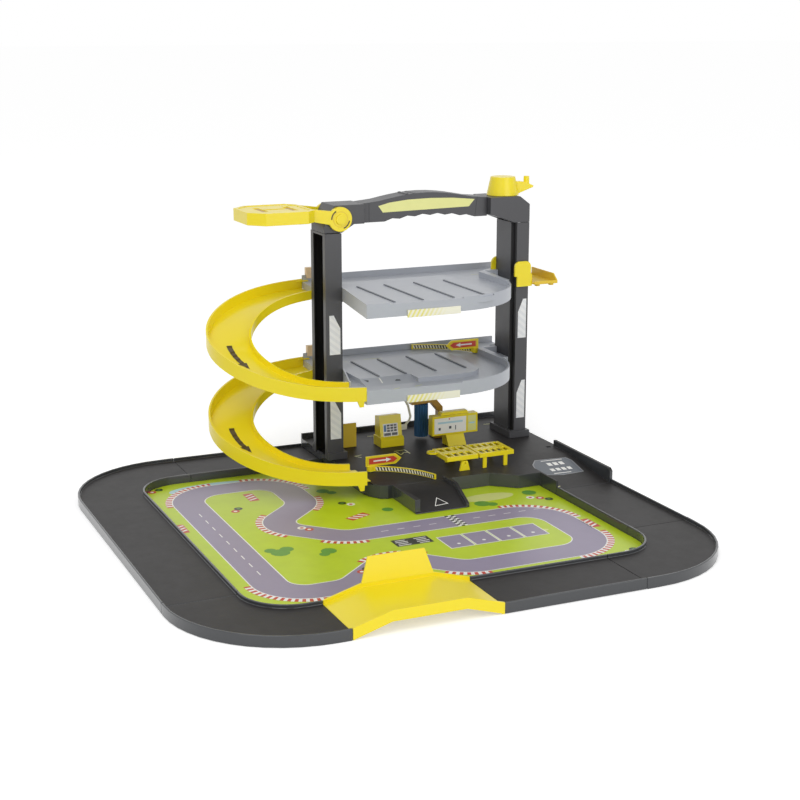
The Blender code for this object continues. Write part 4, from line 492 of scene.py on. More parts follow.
def flat_face(ink, outline, index=0):
    """One level face through points in mm."""
    return outline_face(ink, [(x * MM, y * MM, 0.0) for x, y in outline], index)


def inset_band(ink, face, band_mm):
    """Parts a band along a face's outline from its middle, which stays the given face."""
    bmesh.ops.inset_region(ink, faces=[face], thickness=band_mm * MM, use_boundary=True,
                           use_even_offset=True)


def split_finely(ink, cuts):
    """Cuts a print up, so that it can follow a bent surface."""
    bmesh.ops.triangulate(ink, faces=ink.faces)
    bmesh.ops.subdivide_edges(ink, edges=ink.edges, cuts=cuts, use_grid_fill=True)


def face_up(ink):
    """Merges doubles and turns every flat print towards the sky."""
    bmesh.ops.remove_doubles(ink, verts=ink.verts, dist=0.0005 * MM)
    ink.normal_update()
    downward = [face for face in ink.faces if face.normal.z < 0]
    bmesh.ops.reverse_faces(ink, faces=downward)


def node_tree_of(node):
    """A search tree of a node's surface."""
    mesh = frame["nodes"][node].data
    return BVHTree.FromPolygons([vert.co for vert in mesh.vertices],
                                [face.vertices[:] for face in mesh.polygons])


def drape(ink, node, start, lift_mm):
    """Lowers each point from the height start onto a node's surface."""
    tree = node_tree_of(node)
    for vert in ink.verts:
        hit = tree.ray_cast(Vector((vert.co.x, vert.co.y, start)), Vector((0, 0, -1)))[0]
        if hit is None:
            raise RuntimeError(f"a print misses {node} at {vert.co}")
        vert.co.z = hit.z + lift_mm * MM


def lay_print(name, ink, node, start, materials, lift_mm=0.12):
    """Lays a flat print on a node from above and makes it a piece of the node's body."""
    face_up(ink)
    drape(ink, node, start, lift_mm)
    settle(name, ink, body_of_node(node), materials)


# Stickers on upright faces

def rectangle(left, bottom, right, top):
    """The corners of a rectangle."""
    return (left, bottom), (right, bottom), (right, top), (left, top)


def wall_sticker(name, outline, plane, thickness, key, body="frame"):
    """A sticker on an upright face that looks along -Y; outline is X and Z in metres."""
    ink = bmesh.new()
    face = outline_face(ink, [(x, plane, z) for x, z in outline])
    pushed = bmesh.ops.extrude_face_region(ink, geom=[face])
    bmesh.ops.translate(ink, verts=of_kind(pushed["geom"], bmesh.types.BMVert),
                        vec=(0, -thickness, 0))
    bmesh.ops.recalc_face_normals(ink, faces=ink.faces)
    settle(name, ink, body, [key])


def arc_points(centre, radius, start, end, steps):
    """Points on an arc, angles in degrees."""
    angles = [math.radians(start + (end - start) * step / steps) for step in range(steps + 1)]
    return [(centre[0] + radius * math.cos(angle), centre[1] + radius * math.sin(angle))
            for angle in angles]


def wall_arc(name, centre, inner, outer, start, end, plane, key, body):
    """A curved mark on an upright face that looks along -Y; centre is X and Z in metres."""
    steps = max(6, int(abs(end - start) / 9))
    outline = arc_points(centre, outer, start, end, steps)
    outline += arc_points(centre, inner, end, start, steps)
    wall_sticker(name, outline, plane, 0.08 * MM, key, body)


# User values

def colour_value(name, description, text):
    """A user's colour, from an sRGB hex default."""
    return FloatVectorProperty(name=name, description=description, subtype="COLOR",
                               default=linear(text))


def size_value(name, description, default, least, most):
    """A user's size in millimetres."""
    return FloatProperty(name=name, description=description + ", mm", default=default, min=least,
                         max=most)


class GarageColours(bpy.types.PropertyGroup):
    """Colours of the moulded shells and the print."""
    road: colour_value("Road", "Ring road and base", "272525")
    # Lighter than the road: a painted highlight on the upright faces and rim tops.
    rim: colour_value("Rim", "Rims and side walls of road and base", "3c3e41")
    charcoal: colour_value("Charcoal", "Pillars and handle", "47474a")
    # Painted shade inside the pillars; the handle's dark joint lines share this colour.
    shaft: colour_value("Shaft", "Inside of the pillars", "141416")
    grey: colour_value("Grey", "Decks", "b2b6be")
    yellow: colour_value("Yellow", "Ramps, bridge and lift", "f5e01a")
    # The yellow painted deeper: painted shade.
    deep_yellow: colour_value("Deep yellow", "Matt yellow faces", "e8c632")
    ochre: colour_value("Ochre", "Wash arm", "b98d3c")
    foam: colour_value("Foam", "Wash roller", "2b5f91")
    # Painted shade on the ribs between the bays.
    groove: colour_value("Groove", "Lines between the bays", "70747c")
    clip: colour_value("Clip", "Clips of the ramps", "e4c79c")
    cream: colour_value("Cream", "Screw, gears and hose", "e6e3d2")
    grass: colour_value("Grass", "Ground of the mat", "bed51c")
    lane: colour_value("Lane", "Printed roads", "968ca3")


class GarageSizes(bpy.types.PropertyGroup):
    """Sizes of the fillets and the printed roads, in millimetres."""
    fillet: size_value("Fillet", "Rounding of large shells", 0.9, 0.1, 2.0)
    small_fillet: size_value("Small fillet", "Rounding of small parts", 0.45, 0.05, 1.0)
    lane_width: size_value("Lane", "Width of the printed road", 40.0, 20.0, 60.0)
    line_width: size_value("Edge line", "Width of the white lines", 1.3, 0.5, 3.0)
    arrow_width: size_value("Arrow", "Width of the ramps' arrows", 6.6, 3.0, 12.0)
    kerb_width: size_value("Kerb", "Width of the printed kerbs", 7.5, 2.0, 12.0)
    kerb_tooth: size_value("Kerb tooth", "Length of one kerb band", 2.3, 1.5, 8.0)
    print_gap: size_value("Ink step", "Height between printed layers", 0.03, 0.01, 0.1)


class GarageStage(bpy.types.PropertyGroup):
    """Camera and lamps."""
    lens: FloatProperty(name="Lens", description="Focal length, mm", default=68.64, min=20,
                        max=200)
    key: FloatProperty(name="Key", description="Power of the key lamp, W", default=19.0, min=0)
    fill: FloatProperty(name="Fill", description="Power of the fill lamp, W", default=16.0, min=0)
    floor: FloatProperty(name="Floor", description="Whiteness the camera adds to the floor",
                         default=0.42, min=0.0, max=1.0)
    sky: FloatProperty(name="Sky", description="Strength of the studio walls", default=0.62,
                       min=0)


# Pieces

class GARAGE_OT_road(bpy.types.Operator):
    """Ring road and base in charcoal"""
    bl_idname = "garage.road"
    bl_label = "Road and base"

    def execute(self, context):
        ring = ("road_back", "road_back_left", "road_front_left", "road_front",
                "road_front_right", "road_right")
        for nodes, segments, rise in ((ring, 3, -1.0), (("garage_base", "exit_ramp"), 2, 1.0)):
            for node in nodes:
                piece = finished_shell(node, "road", context.scene.garage_sizes.fillet, segments)
                # Upright faces and rim tops take the lighter grey: a painted highlight.
                paint_walls(piece, "rim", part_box(node)[1].z + rise * MM)
        # Prints on the base and its ramp are lowered from above both.
        start = 30 * MM
        self.triangle(start)
        self.plate(start + 10 * MM)
        self.floor_marks(start)
        return {"FINISHED"}

    def triangle(self, start):
        """The small warning outline on the exit ramp."""
        ink = bmesh.new()
        middle = flat_face(ink, ((70.0, 5.0), (88.5, 6.4), (77.6, 17.6)))
        inset_band(ink, middle, 0.75)
        bmesh.ops.delete(ink, geom=[middle], context="FACES")
        lay_print("exit_ramp_triangle", ink, "exit_ramp", start, ["white"], 0.15)

    def plate(self, start):
        """The cut-cornered plate on the base's slope, with plain blocks."""
        ink = bmesh.new()
        middle = flat_face(ink, ((241, 79), (251, 91.5), (295, 88.5), (298, 78), (294, 41),
                                 (262, 39), (241, 45), (236.5, 62)))
        inset_band(ink, middle, 1.4)
        middle.material_index = 1
        split_finely(ink, 4)
        lay_print("base_plate", ink, "garage_base", start,
                  ["plate_edge", "plate"])
        blocks = bmesh.new()
        for x, y, length, width in (
                (263, 74, 6, 9), (271.5, 74, 6, 9), (280, 74, 6, 9), (258, 57, 5.5, 8),
                (266, 57, 5.5, 8), (274, 57, 5.5, 8), (282, 57, 5.5, 8), (266, 45.5, 24, 1.8),
                (272, 85.5, 30, 1.6)):
            patch(blocks, x, y, length, width, -2, 0.0, 0)
        lay_print("base_plate_blocks", blocks, "garage_base", start, ["white"], 0.2)

    def floor_marks(self, start):
        """Cream bay marks on the base's floor, each from one end to the other."""
        line_width = 1.5
        ink = bmesh.new()
        for left, near, right, far in (
                (103.4, 198.9, 118.8, 200.8), (118.8, 200.8, 118.2, 182.0),
                (104.7, 195.0, 105.3, 181.0), (105.3, 181.0, 112.3, 189.3),
                (112.3, 189.3, 117.6, 187.8), (48.1, 199.3, 58.3, 201.2),
                (48.1, 199.3, 53.7, 190.2), (271.0, 273.0, 283.0, 271.0),
                (100.0, 280.5, 120.0, 277.5), (234.5, 7.0, 241.5, 9.5)):
            length = math.hypot(right - left, far - near)
            turn = math.degrees(math.atan2(far - near, right - left))
            patch(ink, (left + right) / 2, (near + far) / 2, length, line_width, turn, 0.0, 0)
        lay_print("base_floor_marks", ink, "garage_base", start, ["label"])


class GARAGE_OT_mat(bpy.types.Operator):
    """Printed play mat"""
    bl_idname = "garage.mat"
    bl_label = "Play mat"

    def execute(self, context):
        sizes = context.scene.garage_sizes
        finished_shell("play_mat", "grass", TRIM_FILLET, 1)
        ink = bmesh.new()
        step = sizes.print_gap * MM
        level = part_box("play_mat")[1].z + step
        self.ground(ink, level)
        self.circuit(ink, sizes, level, step)
        self.start_line(ink, level + 3 * step)
        self.bays(ink, level, step)
        self.boards(ink, level, step)
        self.greenery(ink, level, step)
        face_up(ink)
        settle("mat_print", ink, "frame", MAT_INKS)
        return {"FINISHED"}

    def ground(self, ink, level):
        """Pale patches in the grass."""
        disc(ink, -140, 196, 58, level, WATER, 40, 0.34)
        disc(ink, 150, 24, 34, level, SAND, 32, 0.4)
        disc(ink, 100, -110, 58, level, SAND, 40, 0.16)

    def circuit(self, ink, sizes, level, step):
        """One closed road with white edges and kerbs on its bends."""
        bends = corner_bends(((-188, 186, 46), (-62, 186, 42), (-62, 92, 45), (-128, 28, 34),
                              (-62, -40, 45), (188, -40, 45), (188, -182, 44), (20, -182, 40),
                              (-40, -120, 32), (-110, -182, 40), (-188, -182, 40)))
        half = sizes.lane_width / 2
        line = sizes.line_width
        lay_route(ink, bends, 0.0, sizes.lane_width, level + step, LANE)
        for side in (-1, 1):
            lay_route(ink, bends, side * (half - line / 2), line, level + 2 * step, WHITE)
        for bend in bends:
            outer = -1 if bend.turn > 0 else 1
            lay_kerb(ink, bend, outer * (half + sizes.kerb_width / 2), sizes.kerb_width,
                     level + 2 * step, (RED, WHITE), sizes.kerb_tooth)

    def start_line(self, ink, level):
        """A chequered line across the road, and dashes along two straights."""
        square = 4
        for row in range(3):
            for column in range(10):
                patch(ink, 72 + row * square, -58 + column * square, square, square, 0, level,
                      (WHITE, BLACK)[(row + column) % 2])
        width = 1.2
        for dash in range(9):
            patch(ink, -188, -110 + dash * 26, width, 12, 0, level, WHITE)
            gap = 36 if dash > 3 else 0
            patch(ink, -14 + dash * 20 + gap, -40, 9, width, 0, level, WHITE)

    def bays(self, ink, level, step):
        """Four outlined bays, each with a spot, and a dark board with bars beside them."""
        line = 1.2
        for bay in range(4):
            x = 44 + bay * 31
            patch(ink, x, -104, 30, 40, 0, level + step, WHITE)
            patch(ink, x, -104, 30 - 2 * line, 40 - 2 * line, 0, level + 2 * step, LANE)
            disc(ink, x, -112, 2.2, level + 3 * step, WHITE, 12)
        patch(ink, 0, -84, 44, 22, 0, level + step, BLACK)
        for row in range(4):
            for column in range(2):
                length = 15 - 3 * ((row + column) % 2)
                patch(ink, -12 + column * 24, -92 + row * 5, length, 1.8, 0, level + 2 * step,
                      WHITE)

    def boards(self, ink, level, step):
        """Red boards with slanted white bars."""
        length, width, bar_width, slant = 30, 12, 3, 28
        for x, y, angle in ((-112, 140, 90), (-222, 60, 90), (-22, 20, 25), (212, -110, 90)):
            patch(ink, x, y, length, width, angle, level + step, RED)
            for bar in (-8, 0, 8):
                shift = Matrix.Rotation(math.radians(angle), 2) @ Vector((bar, 0))
                patch(ink, x + shift.x, y + shift.y, bar_width, width, angle + slant,
                      level + 2 * step, WHITE)

    def greenery(self, ink, level, step):
        """Bushes, each a little above the last, and tyre stacks on the grass and the road."""
        bushes = ((-146, -60, 11), (-136, -52, 8), (-154, -50, 7), (-24, 128, 8),
                  (-16, 118, 6), (132, 4, 10), (142, -2, 7), (-96, -76, 9), (-104, -84, 6),
                  (20, 30, 7), (204, 20, 9))
        for count, (x, y, radius) in enumerate(bushes):
            disc(ink, x, y, radius, level + step * (1 + 0.3 * count), BUSH, 11)
        stacks = ((-216, 208), (-206, 214), (-218, -200), (-210, -208), (-20, 74), (-12, 66),
                  (206, -4), (214, -12), (196, 2), (-88, -150), (-80, -144), (-96, 8), (-90, 0),
                  (210, -206), (201, -211), (-146, 96), (-140, 104))
        for count, (x, y) in enumerate(stacks):
            disc(ink, x, y, 5.2, level + 2 * step, (RED, BLACK, WHITE)[count % 3], 14)
            disc(ink, x, y, 2.3, level + 3 * step, (WHITE, BUSH, RED)[count % 3], 12)


class GARAGE_OT_bridge(bpy.types.Operator):
    """Raised yellow section of the road"""
    bl_idname = "garage.bridge"
    bl_label = "Bridge"

    def execute(self, context):
        finished_shell("bridge", "yellow", context.scene.garage_sizes.fillet, 3)
        return {"FINISHED"}


class GARAGE_OT_tower(bpy.types.Operator):
    """Pillars, heads, handle and stickers"""
    bl_idname = "garage.tower"
    bl_label = "Tower"

    def execute(self, context):
        for node in ("left_pillar", "right_pillar", "left_pillar_foot", "right_pillar_foot",
                     "left_head", "right_head", "carry_handle", "lower_shelf_left",
                     "lower_shelf_right", "upper_shelf_left", "upper_shelf_right"):
            piece = finished_shell(node, "charcoal", context.scene.garage_sizes.small_fillet)
            if node.endswith("pillar"):
                self.paint_shade_in_shafts(piece, node)
        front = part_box("carry_handle")[0].y
        self.handle_label(front)
        self.seams(front)
        self.crown_ridges()
        self.pillar_stickers()
        return {"FINISHED"}

    def paint_shade_in_shafts(self, piece, node):
        """The inside of a pillar and its corner slot get painted shade: near-black."""
        low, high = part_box(node)
        skin = 1.0 * MM
        paint_inside(piece, "shaft", (low.x + skin, low.y + skin, low.z - skin),
                     (high.x - skin, high.y - skin, high.z + skin))

    def handle_label(self, front):
        """The bare pale label on the handle's front."""
        outline = ((0.0856, 0.3368), (0.0917, 0.3285), (0.2117, 0.3305), (0.2197, 0.3394),
                   (0.1890, 0.3425), (0.1575, 0.3436), (0.1260, 0.3430), (0.1010, 0.3405))
        wall_sticker("handle_label", outline, front, STICKER, "label")

    def seams(self, front):
        """Joint lines on the handle's front."""
        line = 0.5 * MM
        for name, top, bottom in (("left", (0.0727, 0.3415), (0.0727, 0.3180)),
                                  ("right", (0.2232, 0.3425), (0.2203, 0.3190))):
            outline = (bottom, (bottom[0] + line, bottom[1]), (top[0] + line, top[1]), top)
            wall_sticker("handle_seam_" + name, outline, front, STICKER / 2, "seam")

    def crown_ridges(self):
        """Grip ridges over the handle's crown."""
        low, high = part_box("carry_handle")
        middle = (low.y + high.y) / 2
        size = (4 * MM, high.y - low.y - 3 * MM, 2.2 * MM)
        lean = Matrix.Rotation(-0.05, 3, "Y")
        first, spacing = 0.126, 9.5 * MM
        tree = node_tree_of("carry_handle")
        for count in range(4):
            x = first + count * spacing
            top = tree.ray_cast(Vector((x, middle, high.z + 0.01)), Vector((0, 0, -1)))[0].z
            rib = bmesh.new()
            bmesh.ops.create_cube(rib, size=1.0)
            bmesh.ops.scale(rib, verts=rib.verts, vec=size)
            bmesh.ops.rotate(rib, verts=rib.verts, matrix=lean)
            bmesh.ops.translate(rib, verts=rib.verts,
                                vec=(x, middle, min(top, high.z - 1.2 * MM)))
            bmesh.ops.bevel(rib, geom=rib.edges, offset=0.9 * MM, segments=2, profile=0.5,
                            affect="EDGES", material=-1)
            settle(f"crown_ridge_{count}", rib, "frame", ["charcoal"])

    def pillar_stickers(self):
        """Hatched stickers with one cut corner on the pillars' fronts."""
        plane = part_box("left_pillar")[0].y
        cut_height = 17 * MM
        for name, left, right, top, bottom in (
                ("left_upper", 0.0145, 0.0290, 0.2050, 0.1550),
                ("left_lower", 0.0145, 0.0290, 0.0955, 0.0455),
                ("right_upper", 0.2805, 0.2925, 0.2065, 0.1545),
                ("right_lower", 0.2805, 0.2925, 0.0970, 0.0455)):
            cut = left + (right - left) * 0.4
            outline = [(left, bottom), (right, bottom), (right, top - cut_height), (cut, top),
                       (left, top)]
            if name.startswith("right"):
                outline = [(left + right - x, z) for x, z in reversed(outline)]
            wall_sticker("sticker_" + name, outline, plane, STICKER, "hatch")


class GARAGE_OT_decks(bpy.types.Operator):
    """Grey decks with their striped boards"""
    bl_idname = "garage.decks"
    bl_label = "Decks"

    def execute(self, context):
        for deck in ("lower", "upper"):
            piece = finished_shell(deck + "_deck", "grey", context.scene.garage_sizes.small_fillet)
            self.paint_shade_on_ribs(piece, deck)
            finished_shell(deck + "_board", "tape", TRIM_FILLET)
            self.lane_marks(deck)
        self.entry_marks()
        return {"FINISHED"}

    def paint_shade_on_ribs(self, piece, deck):
        """The ribs between the bays get painted shade, so they look like dark lines."""
        low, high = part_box(deck + "_deck")
        floor = high.z - 8.0 * MM
        paint_inside(piece, "groove", (low.x + 30 * MM, low.y + 10 * MM, floor + 5.6 * MM),
                     (low.x + 174 * MM, high.y - 40 * MM, floor + 6.9 * MM))

    def entry_marks(self):
        """Small dark wedges, painted shade for holes in the slope, and a pale one where the lower
        deck's bays begin.
        """
        pale, dark = range(2)
        ink = bmesh.new()
        flat_face(ink, ((38.0, 143.6), (41.8, 138.0), (44.0, 142.4)), dark)
        flat_face(ink, ((58.8, 146.0), (57.4, 132.0), (59.0, 132.0), (60.4, 145.6)), pale)
        flat_face(ink, ((76.2, 134.4), (83.4, 133.6), (83.8, 137.0), (79.0, 138.4)), dark)
        lay_print("lower_deck_entry_marks", ink, "lower_deck",
                  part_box("lower_deck")[1].z + 1.0 * MM, ["display", "slate"])

    def lane_marks(self, deck):
        """Short yellow dashes printed on the deck's lanes."""
        ink = bmesh.new()
        marks = [(62, 268, 22, -4), (104, 270, 26, -4), (250, 262, 12, -12)]
        if deck == "lower":
            marks += [(64, 104, 14, 24), (96, 108, 12, 20), (142, 100, 12, 10)]
        for x, y, length, angle in marks:
            patch(ink, x, y, length, 1.3, angle, 0.0, 0)
        node = deck + "_deck"
        lay_print(node + "_marks", ink, node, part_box(node)[1].z + 10 * MM,
                  ["sand"])


class GARAGE_OT_ramps(bpy.types.Operator):
    """Curved ramps with their arrows and clips"""
    bl_idname = "garage.ramps"
    bl_label = "Ramps"

    def execute(self, context):
        sizes = context.scene.garage_sizes
        for level in ("lower", "upper"):
            finished_shell(level + "_ramp", "yellow", sizes.small_fillet)
            finished_shell(level + "_clip", "clip", TRIM_FILLET)
            self.arrow(level + "_ramp", sizes.arrow_width)
        return {"FINISHED"}

    def arrow(self, ramp, width):
        """A dark bent arrow that points down the ramp's lane."""
        low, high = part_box(ramp)
        # The ramp is half an ellipse about a point on the decks' left end.
        centre = Vector((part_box("lower_deck")[0].x, (low.y + high.y) / 2))
        reach = centre.x - low.x
        half = high.y - centre.y
        lane = 27 * MM
        tail, neck, tip = 175, 197, 204.5
        steps = 14
        shaft = [(tail + (neck - tail) * step / steps, width / 2) for step in range(steps + 1)]
        head = [(neck, width * 0.95), (tip, 0.0), (neck, -width * 0.95)]
        outline = shaft + head + [(turn, -across) for turn, across in reversed(shaft)]
        points = []
        for turn, across in outline:
            angle = math.radians(turn)
            inward = lane + across * MM
            points.append((centre.x + (reach - inward) * math.cos(angle),
                           centre.y + (half - inward) * math.sin(angle), 0.0))
        ink = bmesh.new()
        outline_face(ink, points)
        split_finely(ink, 3)
        # The arrow is lowered from above its lane and below the ramp's highest part.
        lay_print(ramp + "_arrow", ink, ramp, high.z - 20 * MM, ["arrow"], 0.25)


class GARAGE_OT_lift(bpy.types.Operator):
    """Crank, screw, carriage and tray"""
    bl_idname = "garage.lift"
    bl_label = "Lift"

    def execute(self, context):
        width = context.scene.garage_sizes.small_fillet
        finish_all(("lift_crank", "lift_carriage"), "yellow", width)
        # The tray takes the deeper yellow: painted shade.
        finished_shell("lift_tray", "deep_yellow", width)
        finished_shell("lift_screw", "cream", PIN_FILLET, 1)
        finish_all(("crank_gear", "screw_gear"), "cream", GEAR_FILLET, 1)
        finish_all(("crank_shaft", "screw_top_bearing", "screw_low_bearing"), "steel",
                   PIN_FILLET, 1)
        return {"FINISHED"}


class GARAGE_OT_helipad(bpy.types.Operator):
    """Folding landing pad with its hinge caps"""
    bl_idname = "garage.helipad"
    bl_label = "Helipad"

    def execute(self, context):
        finished_shell("helipad", "yellow", context.scene.garage_sizes.small_fillet)
        finish_all(("helipad_cap_front", "helipad_cap_rear"), "yellow", TRIM_FILLET)
        finished_shell("helipad_pin", "steel", PIN_FILLET, 1)
        self.marks()
        self.hinge_marks()
        return {"FINISHED"}

    def marks(self):
        """Ochre on the floor of the pad's recessed mark: painted shade in the recess."""
        ink = bmesh.new()
        for x, length, width in ((-64, 7.0, 39.0), (-26, 7.0, 39.0), (-45, 31.0, 7.0)):
            patch(ink, x, 222, length, width, 0, 0.0, 0)
        lay_print("helipad_mark_shade", ink, "helipad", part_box("helipad")[1].z + 10 * MM,
                  ["ochre"], 0.06)

    def hinge_marks(self):
        """A ring and two arc slots round the front hinge cap, painted on as shade: deeper yellow
        and dark umber.
        """
        low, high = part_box("helipad_cap_front")
        centre = ((low.x + high.x) / 2, (low.z + high.z) / 2)
        plane = high.y + 0.3 * MM
        body = body_of_node("helipad")
        # The ring takes the deeper yellow and the slots dark umber ink: painted shade.
        wall_arc("hinge_ring", centre, 9.0 * MM, 9.8 * MM, 0, 359, plane, "deep_yellow", body)
        for name, start in (("near", 120), ("far", -70)):
            wall_arc("hinge_slot_" + name, centre, 10.9 * MM, 12.6 * MM, start, start + 60, plane,
                     "arrow", body)


class GARAGE_OT_gates(bpy.types.Operator):
    """Swinging barriers with their arrow signs"""
    bl_idname = "garage.gates"
    bl_label = "Gates"

    def execute(self, context):
        # Each rail runs from its pin over an angle; its sign points right or left.
        for gate, start, sweep, point in (("exit", 68, -52, 1), ("deck", 27, 52, -1)):
            finished_shell(gate + "_gate", "yellow", GATE_FILLET)
            finished_shell(gate + "_gate_pin", "steel", PIN_FILLET, 1)
            low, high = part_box(gate + "_gate_pin")
            pin = (low + high) / 2
            self.sign(gate, pin, point)
            self.ticks(gate, pin, start, sweep)
        return {"FINISHED"}

    def sign(self, gate, pin, point):
        """A red field with a plain white arrow on the sign's front."""
        node = gate + "_gate"
        plane = pin.y - 1.0 * MM
        root = pin.x - point * (6 if point > 0 else 4) * MM
        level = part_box(node)[1].z - 6.5 * MM
        fields = (("field", "red", 0.1, ((4, -3.8), (37, -3.8), (42.5, 0), (37, 3.8), (4, 3.8))),
                  ("edge", "sun", 0.05, ((1.2, -5.2), (39.0, -5.2), (46.2, 0), (39.0, 5.2),
                                         (1.2, 5.2))),
                  ("arrow", "white", 0.15, ((10, -0.9), (27, -0.9), (27, -2.7), (34, 0),
                                            (27, 2.7), (27, 0.9), (10, 0.9))))
        for part, key, depth_mm, outline in fields:
            places = [(root + point * x * MM, level + z * MM) for x, z in outline]
            if point < 0:
                places.reverse()
            wall_sticker(f"{gate}_sign_{part}", places, plane, depth_mm * MM, key,
                         body_of_node(node))

    def ticks(self, gate, pin, start, sweep):
        """Slanted ticks on a dark band along the rail's hollow side."""
        node = gate + "_gate"
        turn = math.radians(start)
        centre = Vector((pin.x - RAIL_RADIUS * math.cos(turn),
                         pin.y - RAIL_RADIUS * math.sin(turn)))
        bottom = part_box(node)[0].z + 0.8 * MM
        top = bottom + 4.9 * MM
        margin = 0.2 * MM
        way = 1 if sweep > 0 else -1
        first = start + way * 4
        span = way * (abs(sweep) - 5)
        bands, marks = 24, 21
        ink = bmesh.new()
        for step in range(bands):
            self.strip(ink, centre, RAIL_RADIUS - 1.25 * MM, first + span * step / bands,
                       first + span * (step + 1) / bands, bottom, top, 0.0, 0)
        for step in range(marks):
            place = first + span * (step + 0.25) / marks
            self.strip(ink, centre, RAIL_RADIUS - 1.35 * MM, place, place + span * 0.55 / marks,
                       bottom + margin, top - margin, 0.9, 1)
        settle(gate + "_ticks", ink, body_of_node(node), ["black", "ticks"])

    def strip(self, ink, centre, radius, start, end, bottom, top, lean, index):
        """One upright quad on the rail that looks towards the rail's centre."""
        corners = []
        for angle, height in ((start, bottom), (end, bottom), (end + lean, top),
                              (start + lean, top)):
            turn = math.radians(angle)
            corners.append((centre.x + radius * math.cos(turn),
                            centre.y + radius * math.sin(turn), height))
        face = outline_face(ink, corners, index)
        inward = Vector((centre.x, centre.y, bottom)) - face.calc_center_median()
        if face.normal.dot(inward) < 0:
            face.normal_flip()


class GARAGE_OT_service(bpy.types.Operator):
    """Pump, wash, screen, tables and panel on the base"""
    bl_idname = "garage.service"
    bl_label = "Service area"

    def execute(self, context):
        finish_all(("fuel_pump", "control_screen", "screen_stand", "service_table",
                    "service_rocker", "rocker_leg_front", "rocker_leg_rear"), "yellow",
                   FITTING_FILLET)
        # The side panel takes the deeper yellow: painted shade.
        finished_shell("side_panel", "deep_yellow", FITTING_FILLET)
        finished_shell("pump_hose", "cream", PIN_FILLET)
        width = context.scene.garage_sizes.small_fillet
        finished_shell("wash_frame", "ochre", width)
        finished_shell("wash_roller", "foam", width)
        self.pump_face()
        self.screen_face()
        return {"FINISHED"}

    def pump_face(self):
        """A pale panel with plain blocks on the pump's sloping front."""
        white, black, blue, slate = range(4)
        low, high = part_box("fuel_pump")
        tree = node_tree_of("fuel_pump")
        blocks = [(5.5, 9.5, 26.5, 26.0, white), (6.5, 10.5, 16.0, 14.0, slate),
                  (17.5, 10.5, 25.5, 14.0, slate)]
        for row in range(3):
            for column in range(3):
                left, bottom = 11.0 + 4.9 * column, 15.5 + 3.4 * row
                blocks.append((left, bottom, left + 4.0, bottom + 2.5,
                               (black, slate, black)[(row + column) % 3]))
        blocks.append((6.5, 16.0, 10.0, 24.5, blue))
        # The panel's own heights start 4 mm above the pump's foot.
        foot = 4
        ink = bmesh.new()
        for count, (left, bottom, right, top, index) in enumerate(blocks):
            lift = (0.12 if count else 0.06) * MM
            corners = []
            for x, z in rectangle(left, bottom + foot, right, top + foot):
                start = Vector(((low.x + high.x) / 2, low.y - 10 * MM, low.z + z * MM))
                front = tree.ray_cast(start, Vector((0, 1, 0)))[0].y
                corners.append((low.x + x * MM, front - lift, low.z + z * MM))
            outline_face(ink, corners, index)
        settle("pump_panel", ink, "frame", ["white", "black", "foam_ink", "slate"])

    def screen_face(self):
        """A pale display with plain marks and a narrow side field."""
        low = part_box("control_screen")[0]
        places = (("display", "display", 0.06, (3.0, 2.5, 49.0, 23.0)),
                  ("side", "label", 0.06, (51.5, 2.5, 63.5, 23.0)),
                  ("bar", "water", 0.10, (8.0, 15.5, 44.0, 18.0)),
                  ("dot_a", "slate", 0.10, (9.0, 7.0, 12.0, 10.5)),
                  ("dot_b", "slate", 0.10, (24.0, 8.0, 27.5, 11.5)),
                  ("dot_c", "red", 0.10, (23.5, 20.5, 25.5, 22.0)),
                  ("line", "slate", 0.10, (33.0, 6.0, 34.2, 12.0)),
                  ("side_line", "water", 0.10, (53.5, 12.0, 61.5, 14.0)))
        for name, key, depth_mm, sides in places:
            outline = [(low.x + x * MM, low.z + z * MM) for x, z in rectangle(*sides)]
            wall_sticker("screen_" + name, outline, low.y, depth_mm * MM, key)


